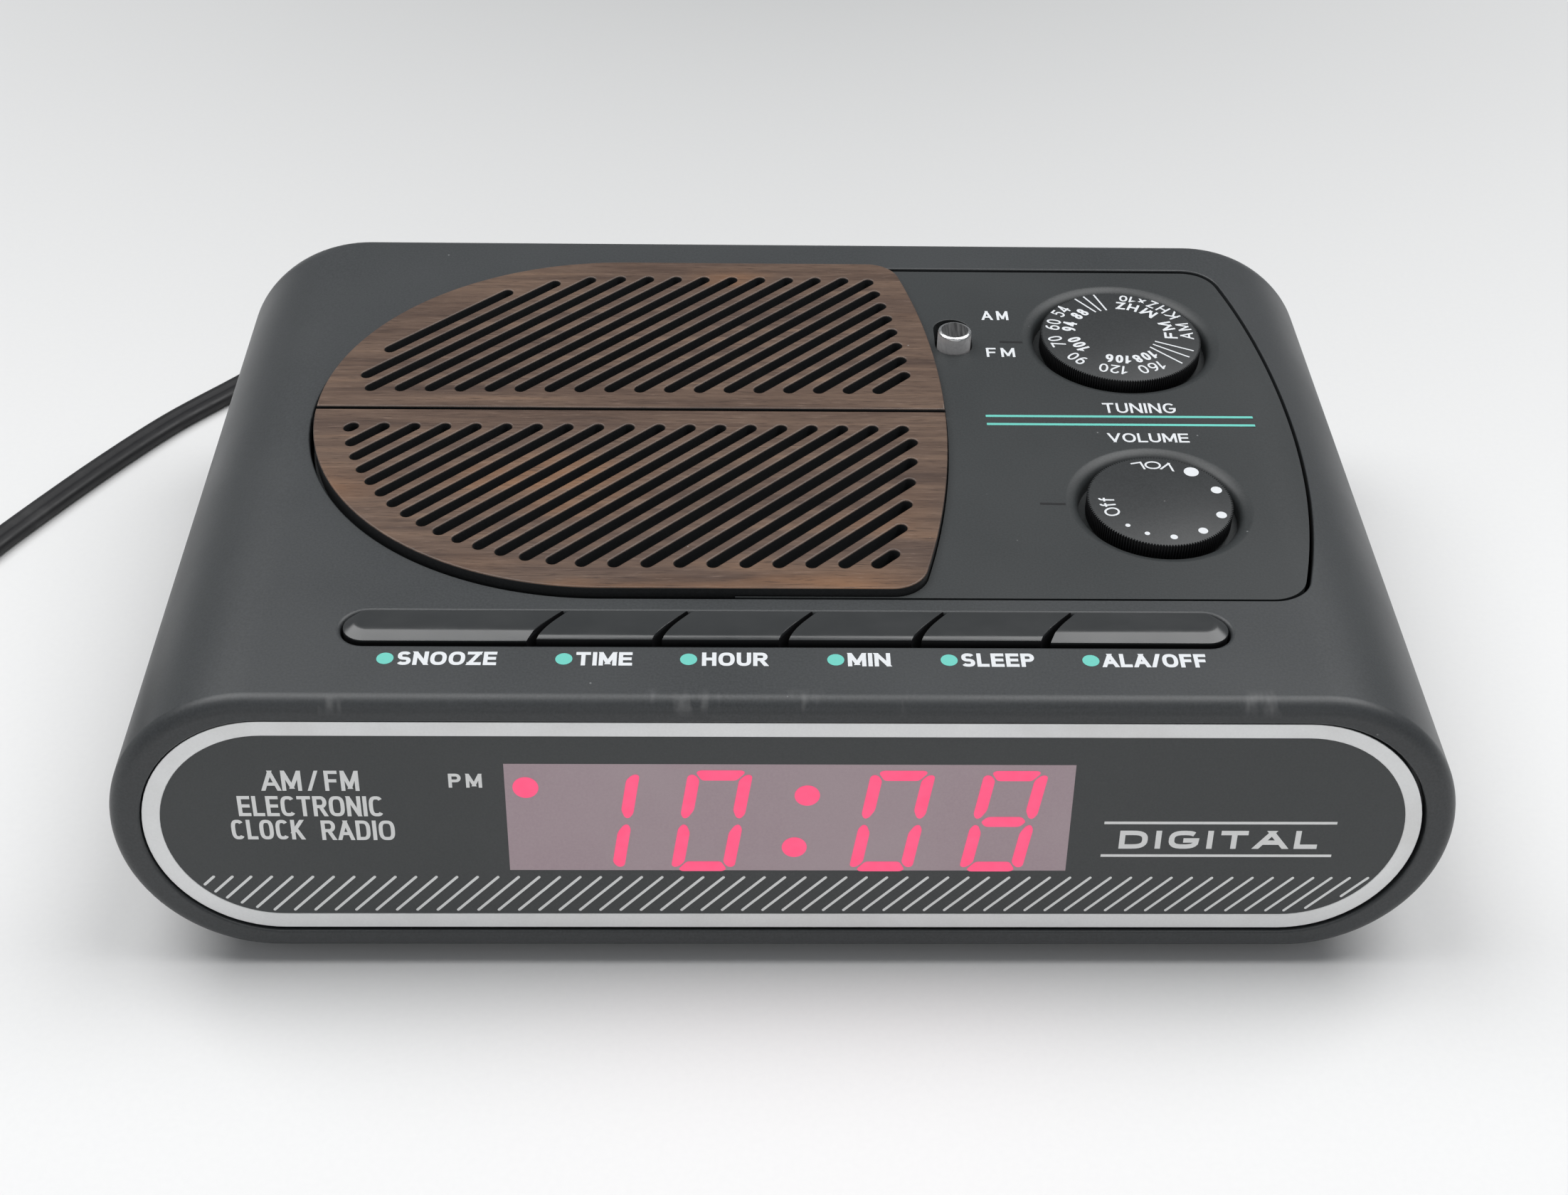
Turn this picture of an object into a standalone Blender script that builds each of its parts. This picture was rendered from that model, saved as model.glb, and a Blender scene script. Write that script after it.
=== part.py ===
"""Table clock radio: low cabinet with round sides, wood-grain speaker grille, two dials and six keys.

Frame: X to the right, Y to the back, Z up, metres. The origin is on the table under the middle of
the cabinet. The four feet stand on Z = 0.
"""
import math

import bmesh
import bpy
from mathutils import Matrix, Vector

MM = 0.001
GAP = 0.3                      # clearance between neighbouring pieces

# Cabinet
FOOT_HEIGHT = 3.0
TOP = 50.0
HALF_WIDTH = 102.5
BOTTOM = FOOT_HEIGHT
SIDE_RADIUS = (TOP - BOTTOM) / 2
MID_HEIGHT = (TOP + BOTTOM) / 2
FRONT_Y = -62.5                # where the front face would meet the top
BACK_Y = 68.75
FRONT_TILT = math.radians(7.92)
WALL = 2.2
FRONT_ROUND = 2.2
BACK_ROUND = 3.0
BACK_CORNER = 5.5
PARTING_Z = 6.0
PARTING_FRONT = -61.0          # in front of this the upper shell runs down to the base
SIDE_STEPS = 10

# Opening in the top, filled by the grille on the left and the control panel on the right
INSERT_Y = 9.8
OPENING_HALF = 48.5
OPENING_LEFT_X = -29.0
OPENING_LEFT_RADIUS = 51.3
OPENING_RIGHT = 88.7
OPENING_BULGE = 156.0
OPENING_CORNER = 7.0
PANEL_CLEARANCE = 0.35
PANEL_FLOOR_TOP = 47.2
PANEL_FLOOR_BOTTOM = 45.8

# Grille
GRILLE_GAP = 0.75
GRILLE_TOP = TOP + 1.5
GRILLE_RIGHT = 27.9
GRILLE_BULGE = 165.0
GRILLE_CORNER = 6.0
SEAM = 0.35
SLOT_WIDTH = 1.5
SLOT_MARGIN = 6.0
SLOT_PITCH = 5.16
SLOT_ANGLE = math.radians(44.5)

# Dials
DIAL_X = 61.5
TUNING_Y = 34.8
VOLUME_Y = -14.0
TUNING_RADIUS = 14.45
VOLUME_RADIUS = 11.95
DISH_MARGIN = 3.55
DISH_FLOOR = 46.7
DIAL_TOP = TOP + 0.55
SHAFT_RADIUS = 2.0

# Band switch
SWITCH_X = 31.1
SWITCH_Y = 32.4
SWITCH_TRAVEL = 5.0
SWITCH_RADIUS = 3.0
SWITCH_TOP = TOP + 3.2

# Keys
KEY_Y = -45.85
KEY_SLOT_HALF = 67.75
KEY_SLOT_RADIUS = 3.85
KEY_GAP = 0.55
KEY_TOP = TOP + 0.7
KEY_BOTTOM = 44.0
KEY_SLANT = 2.2
KEY_NAMES = ("snooze", "time", "hour", "minute", "sleep", "alarm_off")
KEY_JOINS = (-36.0, -17.1, 2.0, 22.1, 41.7)

# Front lens
LENS_HALF = 97.3
LENS_RADIUS = 19.68
LENS_DOWN = 23.6               # centre, measured down the front face from its top edge
LENS_SHIFT = -0.17             # the lens sits a little to the left in its seat
LENS_DEEP = 0.6
LENS_THICK = 1.6
LENS_CLEARANCE = 0.35
WINDOW_HALF = 43.0
WINDOW_DOWN = 21.5

# Inside
BOARD_Z = 27.0
BOARD_THICK = 1.6
KEY_BOARD_Z = 34.0
SPEAKER_X = -27.0
SPEAKER_RADIUS = 39.0
SCREW_PLACES = ((-80.0, -50.0), (80.0, -50.0), (-70.0, 61.8), (70.0, 61.8))
FOOT_PLACES = ((-66.0, -44.0), (66.0, -44.0), (-66.0, 44.0), (66.0, 44.0))
BATTERY_X = 25.0
BATTERY_Y = 20.0

# Power cord
CORD_DIAMETER = 5.5
CORD_Z = CORD_DIAMETER / 2 + 0.1
RELIEF_X = -50.0
RELIEF_Z = 15.0
RELIEF_END = 88.5
COIL_X = -197.0
COIL_Y = 10.0
COIL_RADIUS = 31.0
COIL_BAND = 11.0
COIL_HEIGHT = 11.2
CORD_ROUTE = (
    (-50.0, 88.9, 15.0), (-50.0, 95.5, 15.0), (-51.8, 103.4, 13.4), (-56.8, 109.0, 10.2), (-64.3, 113.6, 7.0),
    (-73.0, 115.0, 4.4), (-82.5, 113.6, 3.0), (-92.0, 109.2, CORD_Z), (-100.3, 102.6, CORD_Z),
    (-108.0, 94.8, CORD_Z), (-115.0, 86.8, CORD_Z), (-125.2, 75.0, CORD_Z), (-134.9, 61.1, CORD_Z),
    (-143.4, 47.5, CORD_Z), (-150.4, 35.6, CORD_Z), (-156.0, 25.2, CORD_Z),
)


def start_clean():
    for old in list(bpy.data.objects):
        bpy.data.objects.remove(old)


def make_collection(name):
    collection = bpy.data.collections.new(name)
    bpy.context.scene.collection.children.link(collection)
    return collection


start_clean()
PARTS = make_collection("clock_radio")
CUTTERS = make_collection("cutters")


# ---------------------------------------------------------------- materials and helpers

def material(name, colour, roughness, metallic=0.0):
    made = bpy.data.materials.get(name)
    if made is None:
        made = bpy.data.materials.new(name)
        made.use_nodes = True
        shader = made.node_tree.nodes["Principled BSDF"]
        shader.inputs["Base Color"].default_value = (*colour, 1.0)
        shader.inputs["Roughness"].default_value = roughness
        shader.inputs["Metallic"].default_value = metallic
        made.diffuse_color = (*colour, 1.0)
    return made


def charcoal():
    return material("charcoal_plastic", (0.075, 0.080, 0.083), 0.55)


def black_plastic():
    return material("black_plastic", (0.02, 0.021, 0.022), 0.4)


def board_green():
    return material("circuit_board", (0.25, 0.17, 0.06), 0.6)


def steel():
    return material("bright_steel", (0.62, 0.62, 0.60), 0.3, 1.0)


def add_mesh(name, mesh, finish=None):
    thing = bpy.data.objects.new(name, mesh)
    if finish is None:
        CUTTERS.objects.link(thing)
        thing.hide_render = True
        thing.display_type = "WIRE"
    else:
        PARTS.objects.link(thing)
        mesh.materials.append(finish)
        mesh.shade_smooth()
        mesh.set_sharp_from_angle(angle=math.radians(35))
    return thing


def from_bmesh(name, shape, finish=None):
    bmesh.ops.scale(shape, vec=(MM, MM, MM), verts=shape.verts)
    mesh = bpy.data.meshes.new(name)
    shape.to_mesh(mesh)
    shape.free()
    return add_mesh(name, mesh, finish)


def box(name, low, high, finish=None):
    shape = bmesh.new()
    bmesh.ops.create_cube(shape, size=1.0)
    size = [b - a for a, b in zip(low, high)]
    middle = [(a + b) / 2 for a, b in zip(low, high)]
    bmesh.ops.scale(shape, vec=size, verts=shape.verts)
    bmesh.ops.translate(shape, vec=middle, verts=shape.verts)
    return from_bmesh(name, shape, finish)


def cylinder(name, x, y, low, high, radius, finish=None, sides=24, top_radius=None):
    shape = bmesh.new()
    upper = radius if top_radius is None else top_radius
    place = Matrix.Translation((x, y, (low + high) / 2))
    bmesh.ops.create_cone(shape, cap_ends=True, segments=sides, radius1=radius, radius2=upper,
                          depth=high - low, matrix=place)
    return from_bmesh(name, shape, finish)


def prism(name, outline, low, high, finish=None):
    """A flat outline of (x, y) points, pulled up from low to high."""
    curve = bpy.data.curves.new(name, "CURVE")
    curve.dimensions = "2D"
    curve.fill_mode = "BOTH"
    curve.extrude = (high - low) / 2 * MM
    curve.resolution_u = 1
    curve.render_resolution_u = 0
    spline = curve.splines.new("POLY")
    spline.points.add(len(outline) - 1)
    for point, (x, y) in zip(spline.points, outline):
        point.co = (x * MM, y * MM, 0.0, 1.0)
    spline.use_cyclic_u = True
    guide = bpy.data.objects.new(name + "_curve", curve)
    CUTTERS.objects.link(guide)
    guide.location.z = (high + low) / 2 * MM
    return mesh_of_curve(name, guide, finish)


def mesh_of_curve(name, guide, finish):
    bpy.context.view_layer.update()
    evaluated = guide.evaluated_get(bpy.context.evaluated_depsgraph_get())
    mesh = bpy.data.meshes.new_from_object(evaluated)
    shape = bmesh.new()
    shape.from_mesh(mesh)
    bmesh.ops.remove_doubles(shape, verts=shape.verts, dist=0.000001)
    bmesh.ops.recalc_face_normals(shape, faces=shape.faces)
    shape.to_mesh(mesh)
    shape.free()
    mesh.materials.clear()
    mesh.transform(guide.matrix_world)
    bpy.data.objects.remove(guide)
    return add_mesh(name, mesh, finish)


def turned(name, profile, place, finish=None, steps=32, turn=None):
    """A profile of (radius, height) points, outer side running down, turned about Z at place."""
    mesh = bpy.data.meshes.new(name)
    points = [(r * MM, 0.0, z * MM) for r, z in profile]
    edges = [(i, i + 1) for i in range(len(points) - 1)]
    if profile[0][0] > 0.0 and profile[-1][0] > 0.0:
        edges.append((len(points) - 1, 0))
    mesh.from_pydata(points, edges, [])
    thing = add_mesh(name, mesh, finish)
    thing.location = Vector(place) * MM
    if turn is not None:
        thing.rotation_euler = turn
    screw = thing.modifiers.new("turn", "SCREW")
    screw.steps = steps
    screw.render_steps = steps
    screw.use_merge_vertices = True
    screw.merge_threshold = 0.00001
    screw.use_smooth_shade = True
    return thing


def change(target, tool, operation):
    step = target.modifiers.new(operation.lower(), "BOOLEAN")
    step.operation = operation
    step.solver = "EXACT"
    step.object = tool
    return target


def cut(target, tool):
    return change(target, tool, "DIFFERENCE")


def join(target, tool):
    return change(target, tool, "UNION")


def keep_common(target, tool):
    return change(target, tool, "INTERSECT")


def round_edges(thing, width, segments=2, angle=40):
    bevel = thing.modifiers.new("rounded", "BEVEL")
    bevel.width = width * MM
    bevel.segments = segments
    bevel.limit_method = "ANGLE"
    bevel.angle_limit = math.radians(angle)
    bevel.use_clamp_overlap = True
    return thing


def put_origin(thing, place):
    """Moves the origin to place, and leaves the shape where it is."""
    shift = Vector(place) * MM - thing.location
    thing.data.transform(Matrix.Translation(-shift))
    thing.location = thing.location + shift
    return thing


# ---------------------------------------------------------------- outlines

def arc(centre, radius, start, stop, steps, flat=1.0):
    points = []
    for step in range(steps + 1):
        angle = start + (stop - start) * step / steps
        points.append((centre[0] + radius * math.cos(angle), centre[1] + radius * flat * math.sin(angle)))
    return points


def pill(half, radius, steps, x=0.0, y=0.0):
    straight = half - radius
    right = arc((x + straight, y), radius, -math.pi / 2, math.pi / 2, steps)
    left = arc((x - straight, y), radius, math.pi / 2, 3 * math.pi / 2, steps)
    return right + left


def insert_outline(right, bulge, corner, half, left_radius, steps=20):
    """Straight top and bottom edges, an elliptical left end and a gently bulging right end."""
    centre_x = right - bulge
    corner_x = centre_x + math.sqrt((bulge - corner) ** 2 - (half - corner) ** 2)
    lean = math.atan2(half - corner, corner_x - centre_x)
    points = arc((corner_x, INSERT_Y - half + corner), corner, -math.pi / 2, -lean, 5)
    points += arc((centre_x, INSERT_Y), bulge, -lean, lean, 12)[1:-1]
    points += arc((corner_x, INSERT_Y + half - corner), corner, lean, math.pi / 2, 5)
    points += arc((OPENING_LEFT_X, INSERT_Y), left_radius, math.pi / 2, 3 * math.pi / 2, steps, half / left_radius)
    return points


def opening_outline(offset):
    return insert_outline(OPENING_RIGHT + offset, OPENING_BULGE + offset, OPENING_CORNER + offset,
                          OPENING_HALF + offset, OPENING_LEFT_RADIUS + offset)


def grille_outline(offset, corner=GRILLE_CORNER):
    half = OPENING_HALF - GRILLE_GAP + offset
    left = OPENING_LEFT_RADIUS - GRILLE_GAP + offset
    return insert_outline(GRILLE_RIGHT + offset, GRILLE_BULGE + offset, corner, half, left)


def joined_prisms(name, outlines, low, high):
    """One cutter that holds several separate prisms."""
    shape = bmesh.new()
    for outline in outlines:
        lower = [shape.verts.new((x, y, low)) for x, y in outline]
        face = shape.faces.new(lower)
        pulled = bmesh.ops.extrude_face_region(shape, geom=[face])
        upper = [v for v in pulled["geom"] if isinstance(v, bmesh.types.BMVert)]
        bmesh.ops.translate(shape, vec=(0.0, 0.0, high - low), verts=upper)
    bmesh.ops.recalc_face_normals(shape, faces=shape.faces)
    return from_bmesh(name, shape)


# ---------------------------------------------------------------- cabinet

def section(half_width, radius, steps=SIDE_STEPS):
    """Cabinet cross-section of (x, z) points: flat top and bottom, half-round sides."""
    return [(x, z + MID_HEIGHT) for x, z in pill(half_width, radius, steps)]


def cabinet_loft(name, inset, front_y, back_y, front_round, back_round, back_corner, finish=None):
    """Sections from the leaning front to the upright back, drawn in at both ends to round the edges."""
    stations = []
    for step in range(5):
        angle = math.pi / 2 * step / 4
        drawn = front_round * (1 - math.sin(angle))
        stations.append((front_y + front_round * (1 - math.cos(angle)), drawn, drawn))
    back = {back_corner * (1 - math.sin(math.pi / 2 * step / 7)) for step in range(8)}
    back |= {back_round * (1 - math.sin(math.pi / 2 * step / 4)) for step in range(5)}
    for left in sorted(back, reverse=True):
        wide = back_corner - math.sqrt(max(0.0, back_corner ** 2 - (back_corner - left) ** 2))
        inside = max(0.0, back_round - left)
        high = back_round - math.sqrt(max(0.0, back_round ** 2 - inside ** 2))
        stations.append((back_y - left, wide, high))
    shape = bmesh.new()
    rings = []
    for y, wide, high in stations:
        share = (back_y - y) / (back_y - front_y)
        ring = []
        for x, z in section(HALF_WIDTH - inset - wide, SIDE_RADIUS - inset - high):
            lean = (TOP - z) * math.tan(FRONT_TILT) * share
            ring.append(shape.verts.new((x, y - lean, z)))
        rings.append(ring)
    count = len(rings[0])
    for near, far in zip(rings, rings[1:]):
        for i in range(count):
            j = (i + 1) % count
            shape.faces.new((near[i], near[j], far[j], far[i]))
    shape.faces.new(rings[0])
    shape.faces.new(rings[-1])
    bmesh.ops.remove_doubles(shape, verts=shape.verts, dist=0.0001)
    bmesh.ops.recalc_face_normals(shape, faces=shape.faces)
    return from_bmesh(name, shape, finish)


def outer_loft(name, finish=None):
    return cabinet_loft(name, 0.0, FRONT_Y, BACK_Y, FRONT_ROUND, BACK_ROUND, BACK_CORNER, finish)


def inner_loft(name):
    return cabinet_loft(name, WALL, FRONT_Y + WALL + 0.6, BACK_Y - WALL, 1.0, 1.5, BACK_CORNER - WALL)


def lean_on_front(thing, down, deep):
    """Takes a shape made flat about the origin and stands it on the front face, its top looking out."""
    turn = Matrix.Rotation(math.pi / 2 - FRONT_TILT, 4, "X")
    across = Vector((0.0, -math.sin(FRONT_TILT), -math.cos(FRONT_TILT)))
    inward = Vector((0.0, math.cos(FRONT_TILT), -math.sin(FRONT_TILT)))
    place = Vector((0.0, FRONT_Y, TOP)) + across * down + inward * deep
    thing.data.transform(Matrix.Translation(place * MM) @ turn)
    return thing


def key_place(index):
    """Middle of a key across the cabinet."""
    edges = (-KEY_SLOT_HALF,) + KEY_JOINS + (KEY_SLOT_HALF,)
    return (edges[index] + edges[index + 1]) / 2


def build_top_cabinet():
    cabinet = outer_loft("top_cabinet", charcoal())
    cut(cabinet, inner_loft("cabinet_hollow"))
    for number, (x, y) in enumerate(SCREW_PLACES):
        radius = 4.0 if y < 0 else 3.2
        join(cabinet, cylinder(f"post_{number}", x, y, 10.6, 48.6, radius, sides=16))
        if y > 0:
            join(cabinet, box(f"post_rib_{number}", (x - 0.8, y + 2.6, 10.9), (x + 0.8, 67.4, 48.4)))
        cut(cabinet, cylinder(f"post_bore_{number}", x, y, 5.0, 26.0, 1.75, sides=12))
    cut(cabinet, box("below_parting", (-120, PARTING_FRONT, -5), (120, 90, PARTING_Z + GAP / 2)))
    cut(cabinet, prism("top_opening", opening_outline(0.0), 40.0, 60.0))
    cut(cabinet, prism("key_slot", pill(KEY_SLOT_HALF, KEY_SLOT_RADIUS, 8, 0.0, KEY_Y), 45.0, 60.0))
    seat = prism("lens_seat", pill(LENS_HALF + LENS_CLEARANCE, LENS_RADIUS + LENS_CLEARANCE, 12), -2.5, 8.0)
    cut(cabinet, lean_on_front(seat, LENS_DOWN, 0.0))
    window = prism("lens_window", pill(LENS_HALF - 3.0, LENS_RADIUS - 3.0, 6), -12.0, 8.0)
    cut(cabinet, lean_on_front(window, LENS_DOWN, 0.0))
    hole = cylinder("relief_hole", 0, 0, -8.0, 8.0, 4.2, sides=16)
    hole.rotation_euler.x = math.pi / 2
    hole.location = Vector((RELIEF_X, BACK_Y, RELIEF_Z)) * MM
    cut(cabinet, hole)


def build_bottom_cabinet():
    base = outer_loft("bottom_cabinet", charcoal())
    cut(base, box("above_parting", (-120, -90, PARTING_Z - GAP / 2), (120, 90, 80)))
    cut(base, box("front_of_parting", (-120, -90, -5), (120, PARTING_FRONT + GAP, 80)))
    cut(base, inner_loft("base_hollow"))
    for number, (x, y) in enumerate(SCREW_PLACES):
        join(base, cylinder(f"well_{number}", x, y, 4.4, 10.2, 4.0, sides=16))
        cut(base, cylinder(f"well_bore_{number}", x, y, -2.0, 8.0, 2.95, sides=16))
        cut(base, cylinder(f"well_hole_{number}", x, y, 5.0, 14.0, 1.75, sides=12))
    left, right = BATTERY_X - 24.0, BATTERY_X + 24.0
    near, far = BATTERY_Y - 13.0, BATTERY_Y + 13.0
    cut(base, box("battery_opening", (left, near, -2.0), (right, far, 20.0)))
    cut(base, box("door_recess", (left - 2.0, near - 2.0, -2.0), (right + 2.0, far + 8.0, BOTTOM + 1.3)))
    vents = [pill(9.0, 0.9, 2, -40.0, -20.0 + 4.5 * row) for row in range(6)]
    cut(base, joined_prisms("vent_slots", vents, -2.0, 8.0))


def build_control_panel():
    panel = prism("control_panel", opening_outline(-PANEL_CLEARANCE), PANEL_FLOOR_BOTTOM, 60.0, charcoal())
    keep_common(panel, outer_loft("panel_top_shape"))
    pocket = prism("grille_pocket", grille_outline(GRILLE_GAP, 1.0), PANEL_FLOOR_TOP, 70.0)
    cut(panel, pocket)
    cut(panel, box("left_of_pocket", (-95.0, -60.0, PANEL_FLOOR_TOP), (-8.0, 80.0, 70.0)))
    for name, y, radius in (("tuning", TUNING_Y, TUNING_RADIUS), ("volume", VOLUME_Y, VOLUME_RADIUS)):
        rim = radius + DISH_MARGIN
        join(panel, cylinder(name + "_cup", DIAL_X, y, 45.0, 47.0, rim + 1.3, sides=32))
        cut(panel, cylinder(name + "_dish", DIAL_X, y, DISH_FLOOR, TOP, radius + 0.8, sides=32, top_radius=rim))
        cut(panel, cylinder(name + "_dish_rim", DIAL_X, y, TOP - 0.001, TOP + 5.0, rim, sides=32))
        cut(panel, cylinder(name + "_hub_hole", DIAL_X, y, 40.0, 48.0, 4.5, sides=20))
    for number, x in enumerate((-42.0, 0.0, 42.0)):
        join(panel, box(f"back_tab_{number}", (x - 6, 55.0, PANEL_FLOOR_BOTTOM + 0.05), (x + 6, 60.3, 47.15)))
        join(panel, box(f"front_tab_{number}", (x - 6, -40.6, PANEL_FLOOR_BOTTOM + 0.05), (x + 6, -35.0, 47.15)))
    middle = SWITCH_Y + SWITCH_TRAVEL / 2 + 0.2
    slot = [(SWITCH_X + y, middle + x) for x, y in pill(SWITCH_TRAVEL / 2 + 3.9, 3.4, 8)]
    cut(panel, prism("switch_slot", list(reversed(slot)), 40.0, 60.0))
    cut(panel, cylinder("speaker_hole", SPEAKER_X, INSERT_Y, 40.0, 60.0, 33.0, sides=40))


# ---------------------------------------------------------------- grille

def grille_edges(y):
    """Left and right limits of the slots at y."""
    half = OPENING_HALF - GRILLE_GAP - SLOT_MARGIN
    from_middle = y - INSERT_Y
    if abs(from_middle) > half:
        return None
    left_radius = OPENING_LEFT_RADIUS - GRILLE_GAP - SLOT_MARGIN
    left = OPENING_LEFT_X - left_radius * math.sqrt(1 - (from_middle / half) ** 2)
    bulge = GRILLE_BULGE - SLOT_MARGIN
    right = GRILLE_RIGHT - GRILLE_BULGE + math.sqrt(bulge ** 2 - from_middle ** 2)
    return left, right


def slot_outlines(first, count, pitch, low, high):
    """Slanting slots with round ends; first is where the first one's line crosses y = 0."""
    slots = []
    for number in range(count):
        start = first + pitch * number
        inside = []
        y = low
        while y <= high:
            x = start + y / math.tan(SLOT_ANGLE)
            edges = grille_edges(y)
            if edges and edges[0] <= x <= edges[1]:
                inside.append((x, y))
            y += 0.05
        if not inside:
            continue
        slots.append(slanted_pill(inside[0], inside[-1]))
    return slots


def slanted_pill(near, far):
    radius = SLOT_WIDTH / 2
    points = arc(far, radius, SLOT_ANGLE - math.pi / 2, SLOT_ANGLE + math.pi / 2, 4)
    points += arc(near, radius, SLOT_ANGLE + math.pi / 2, SLOT_ANGLE + 3 * math.pi / 2, 4)
    if math.dist(near, far) < 0.01:
        points = arc(near, radius, 0.0, 2 * math.pi, 8)[:-1]
    return points


def build_grille():
    wood = material("wood_grain_plastic", (0.16, 0.095, 0.07), 0.5)
    low = PANEL_FLOOR_TOP + GAP
    halves = (
        ("grille_upper", -60.0, INSERT_Y + SEAM / 2, slot_outlines(-98.0, 21, SLOT_PITCH, 15.8, 52.0)),
        ("grille_lower", INSERT_Y - SEAM / 2, 80.0, slot_outlines(-77.0, 25, SLOT_PITCH, -32.5, 4.4)),
    )
    for name, drop_from, drop_to, slots in halves:
        plate = prism(name, grille_outline(0.0), low, GRILLE_TOP, wood)
        cut(plate, box(name + "_half", (-100.0, drop_from, 30.0), (60.0, drop_to, 70.0)))
        cut(plate, joined_prisms(name + "_slots", slots, 40.0, 60.0))


# ---------------------------------------------------------------- front

def build_front():
    lens = prism("front_lens", pill(LENS_HALF, LENS_RADIUS, 12, LENS_SHIFT), -LENS_THICK, 0.0,
                 material("smoked_lens", (0.035, 0.037, 0.038), 0.12))
    lean_on_front(lens, LENS_DOWN, LENS_DEEP)
    display = box("display_module", (-WINDOW_HALF - 2.0, -12.0, -6.0), (WINDOW_HALF + 2.0, 12.0, 0.0),
                  material("led_display", (0.35, 0.10, 0.14), 0.5))
    lean_on_front(display, WINDOW_DOWN, LENS_DEEP + LENS_THICK + 0.5)


# ---------------------------------------------------------------- dials and switch

def build_dial(name, y, radius):
    profile = [(0.0, DIAL_TOP), (radius - 0.5, DIAL_TOP), (radius, DIAL_TOP - 0.4), (radius, DISH_FLOOR + 0.4),
               (4.0, DISH_FLOOR + 0.4), (4.0, 43.4), (SHAFT_RADIUS + GAP, 43.4), (SHAFT_RADIUS + GAP, 48.2),
               (0.0, 48.2)]
    turned(name + "_knob", profile, (DIAL_X, y, 0.0), black_plastic(), steps=32)
    turned(name + "_shaft", [(0.0, 47.6), (SHAFT_RADIUS, 47.6), (SHAFT_RADIUS, 39.2), (0.0, 39.2)],
           (DIAL_X, y, 0.0), steel(), steps=16)


def build_dials():
    build_dial("tuning", TUNING_Y, TUNING_RADIUS)
    build_dial("volume", VOLUME_Y, VOLUME_RADIUS)
    low = BOARD_Z + BOARD_THICK + GAP
    tuner = box("tuning_capacitor", (DIAL_X - 10, TUNING_Y - 10, low), (DIAL_X + 10, TUNING_Y + 10, 38.9),
                material("clear_plastic", (0.5, 0.5, 0.46), 0.25))
    round_edges(tuner, 0.8)
    cylinder("volume_potentiometer", DIAL_X, VOLUME_Y, low, 38.9, 8.2, steel(), sides=24)


def build_band_switch():
    cap = turned("band_switch_cap", [(0.0, SWITCH_TOP - 0.3), (2.3, SWITCH_TOP - 0.3), (2.5, SWITCH_TOP),
                                     (2.8, SWITCH_TOP), (SWITCH_RADIUS, SWITCH_TOP - 0.25),
                                     (SWITCH_RADIUS, 46.2), (1.3, 46.2), (1.3, 41.4), (0.0, 41.4)],
                 (SWITCH_X, SWITCH_Y, 0.0), steel(), steps=24)
    cap.data.set_sharp_from_angle(angle=math.radians(25))
    box("band_switch_lever", (SWITCH_X - 1.5, SWITCH_Y - 1.5, 36.4), (SWITCH_X + 1.5, SWITCH_Y + 1.5, 41.1),
        black_plastic())
    middle = SWITCH_Y + SWITCH_TRAVEL / 2
    box("band_switch_body", (SWITCH_X - 4, middle - 9, BOARD_Z + BOARD_THICK + GAP),
        (SWITCH_X + 4, middle + 9, 36.1), steel())


# ---------------------------------------------------------------- keys

def key_outline(index):
    """One key in the row: round at the ends of the row, slanting where it meets its neighbour."""
    radius = KEY_SLOT_RADIUS - PANEL_CLEARANCE
    half = KEY_SLOT_HALF - PANEL_CLEARANCE
    front, back = KEY_Y - radius, KEY_Y + radius
    points = []
    if index == len(KEY_JOINS):
        points += arc((half - radius, KEY_Y), radius, -math.pi / 2, math.pi / 2, 8)
    else:
        points += slanted_side(KEY_JOINS[index] - KEY_GAP / 2, front, back)
    if index == 0:
        points += arc((radius - half, KEY_Y), radius, math.pi / 2, 3 * math.pi / 2, 8)
    else:
        points += reversed(slanted_side(KEY_JOINS[index - 1] + KEY_GAP / 2, front, back))
    return points


def slanted_side(x, front, back):
    """Curved slanting side from the front of the row to its back."""
    points = []
    for step in range(5):
        share = step / 4
        bow = 0.35 * share + 0.65 * (1 - math.cos(share * math.pi / 2))
        points.append((x - KEY_SLANT + 2 * KEY_SLANT * bow, front + (back - front) * share))
    return points


def build_keys():
    gloss = material("key_black", (0.018, 0.019, 0.02), 0.2)
    for index, name in enumerate(KEY_NAMES):
        key = prism("key_" + name, key_outline(index), KEY_BOTTOM, KEY_TOP, gloss)
        x = key_place(index)
        join(key, cylinder("stem_" + name, x, KEY_Y, 42.6, KEY_BOTTOM + 1.0, 1.6, sides=12))
        put_origin(key, (x, KEY_Y, KEY_BOTTOM))
        switch = box("tact_switch_" + name, (x - 3, KEY_Y - 3, KEY_BOARD_Z + BOARD_THICK + GAP),
                     (x + 3, KEY_Y + 3, 39.7), steel())
        join(switch, cylinder("plunger_" + name, x, KEY_Y, 39.0, 40.7, 1.7, sides=12))
    box("key_board", (-66.0, KEY_Y - 6.5, KEY_BOARD_Z), (66.0, KEY_Y + 6.5, KEY_BOARD_Z + BOARD_THICK), board_green())


# ---------------------------------------------------------------- inside

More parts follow.
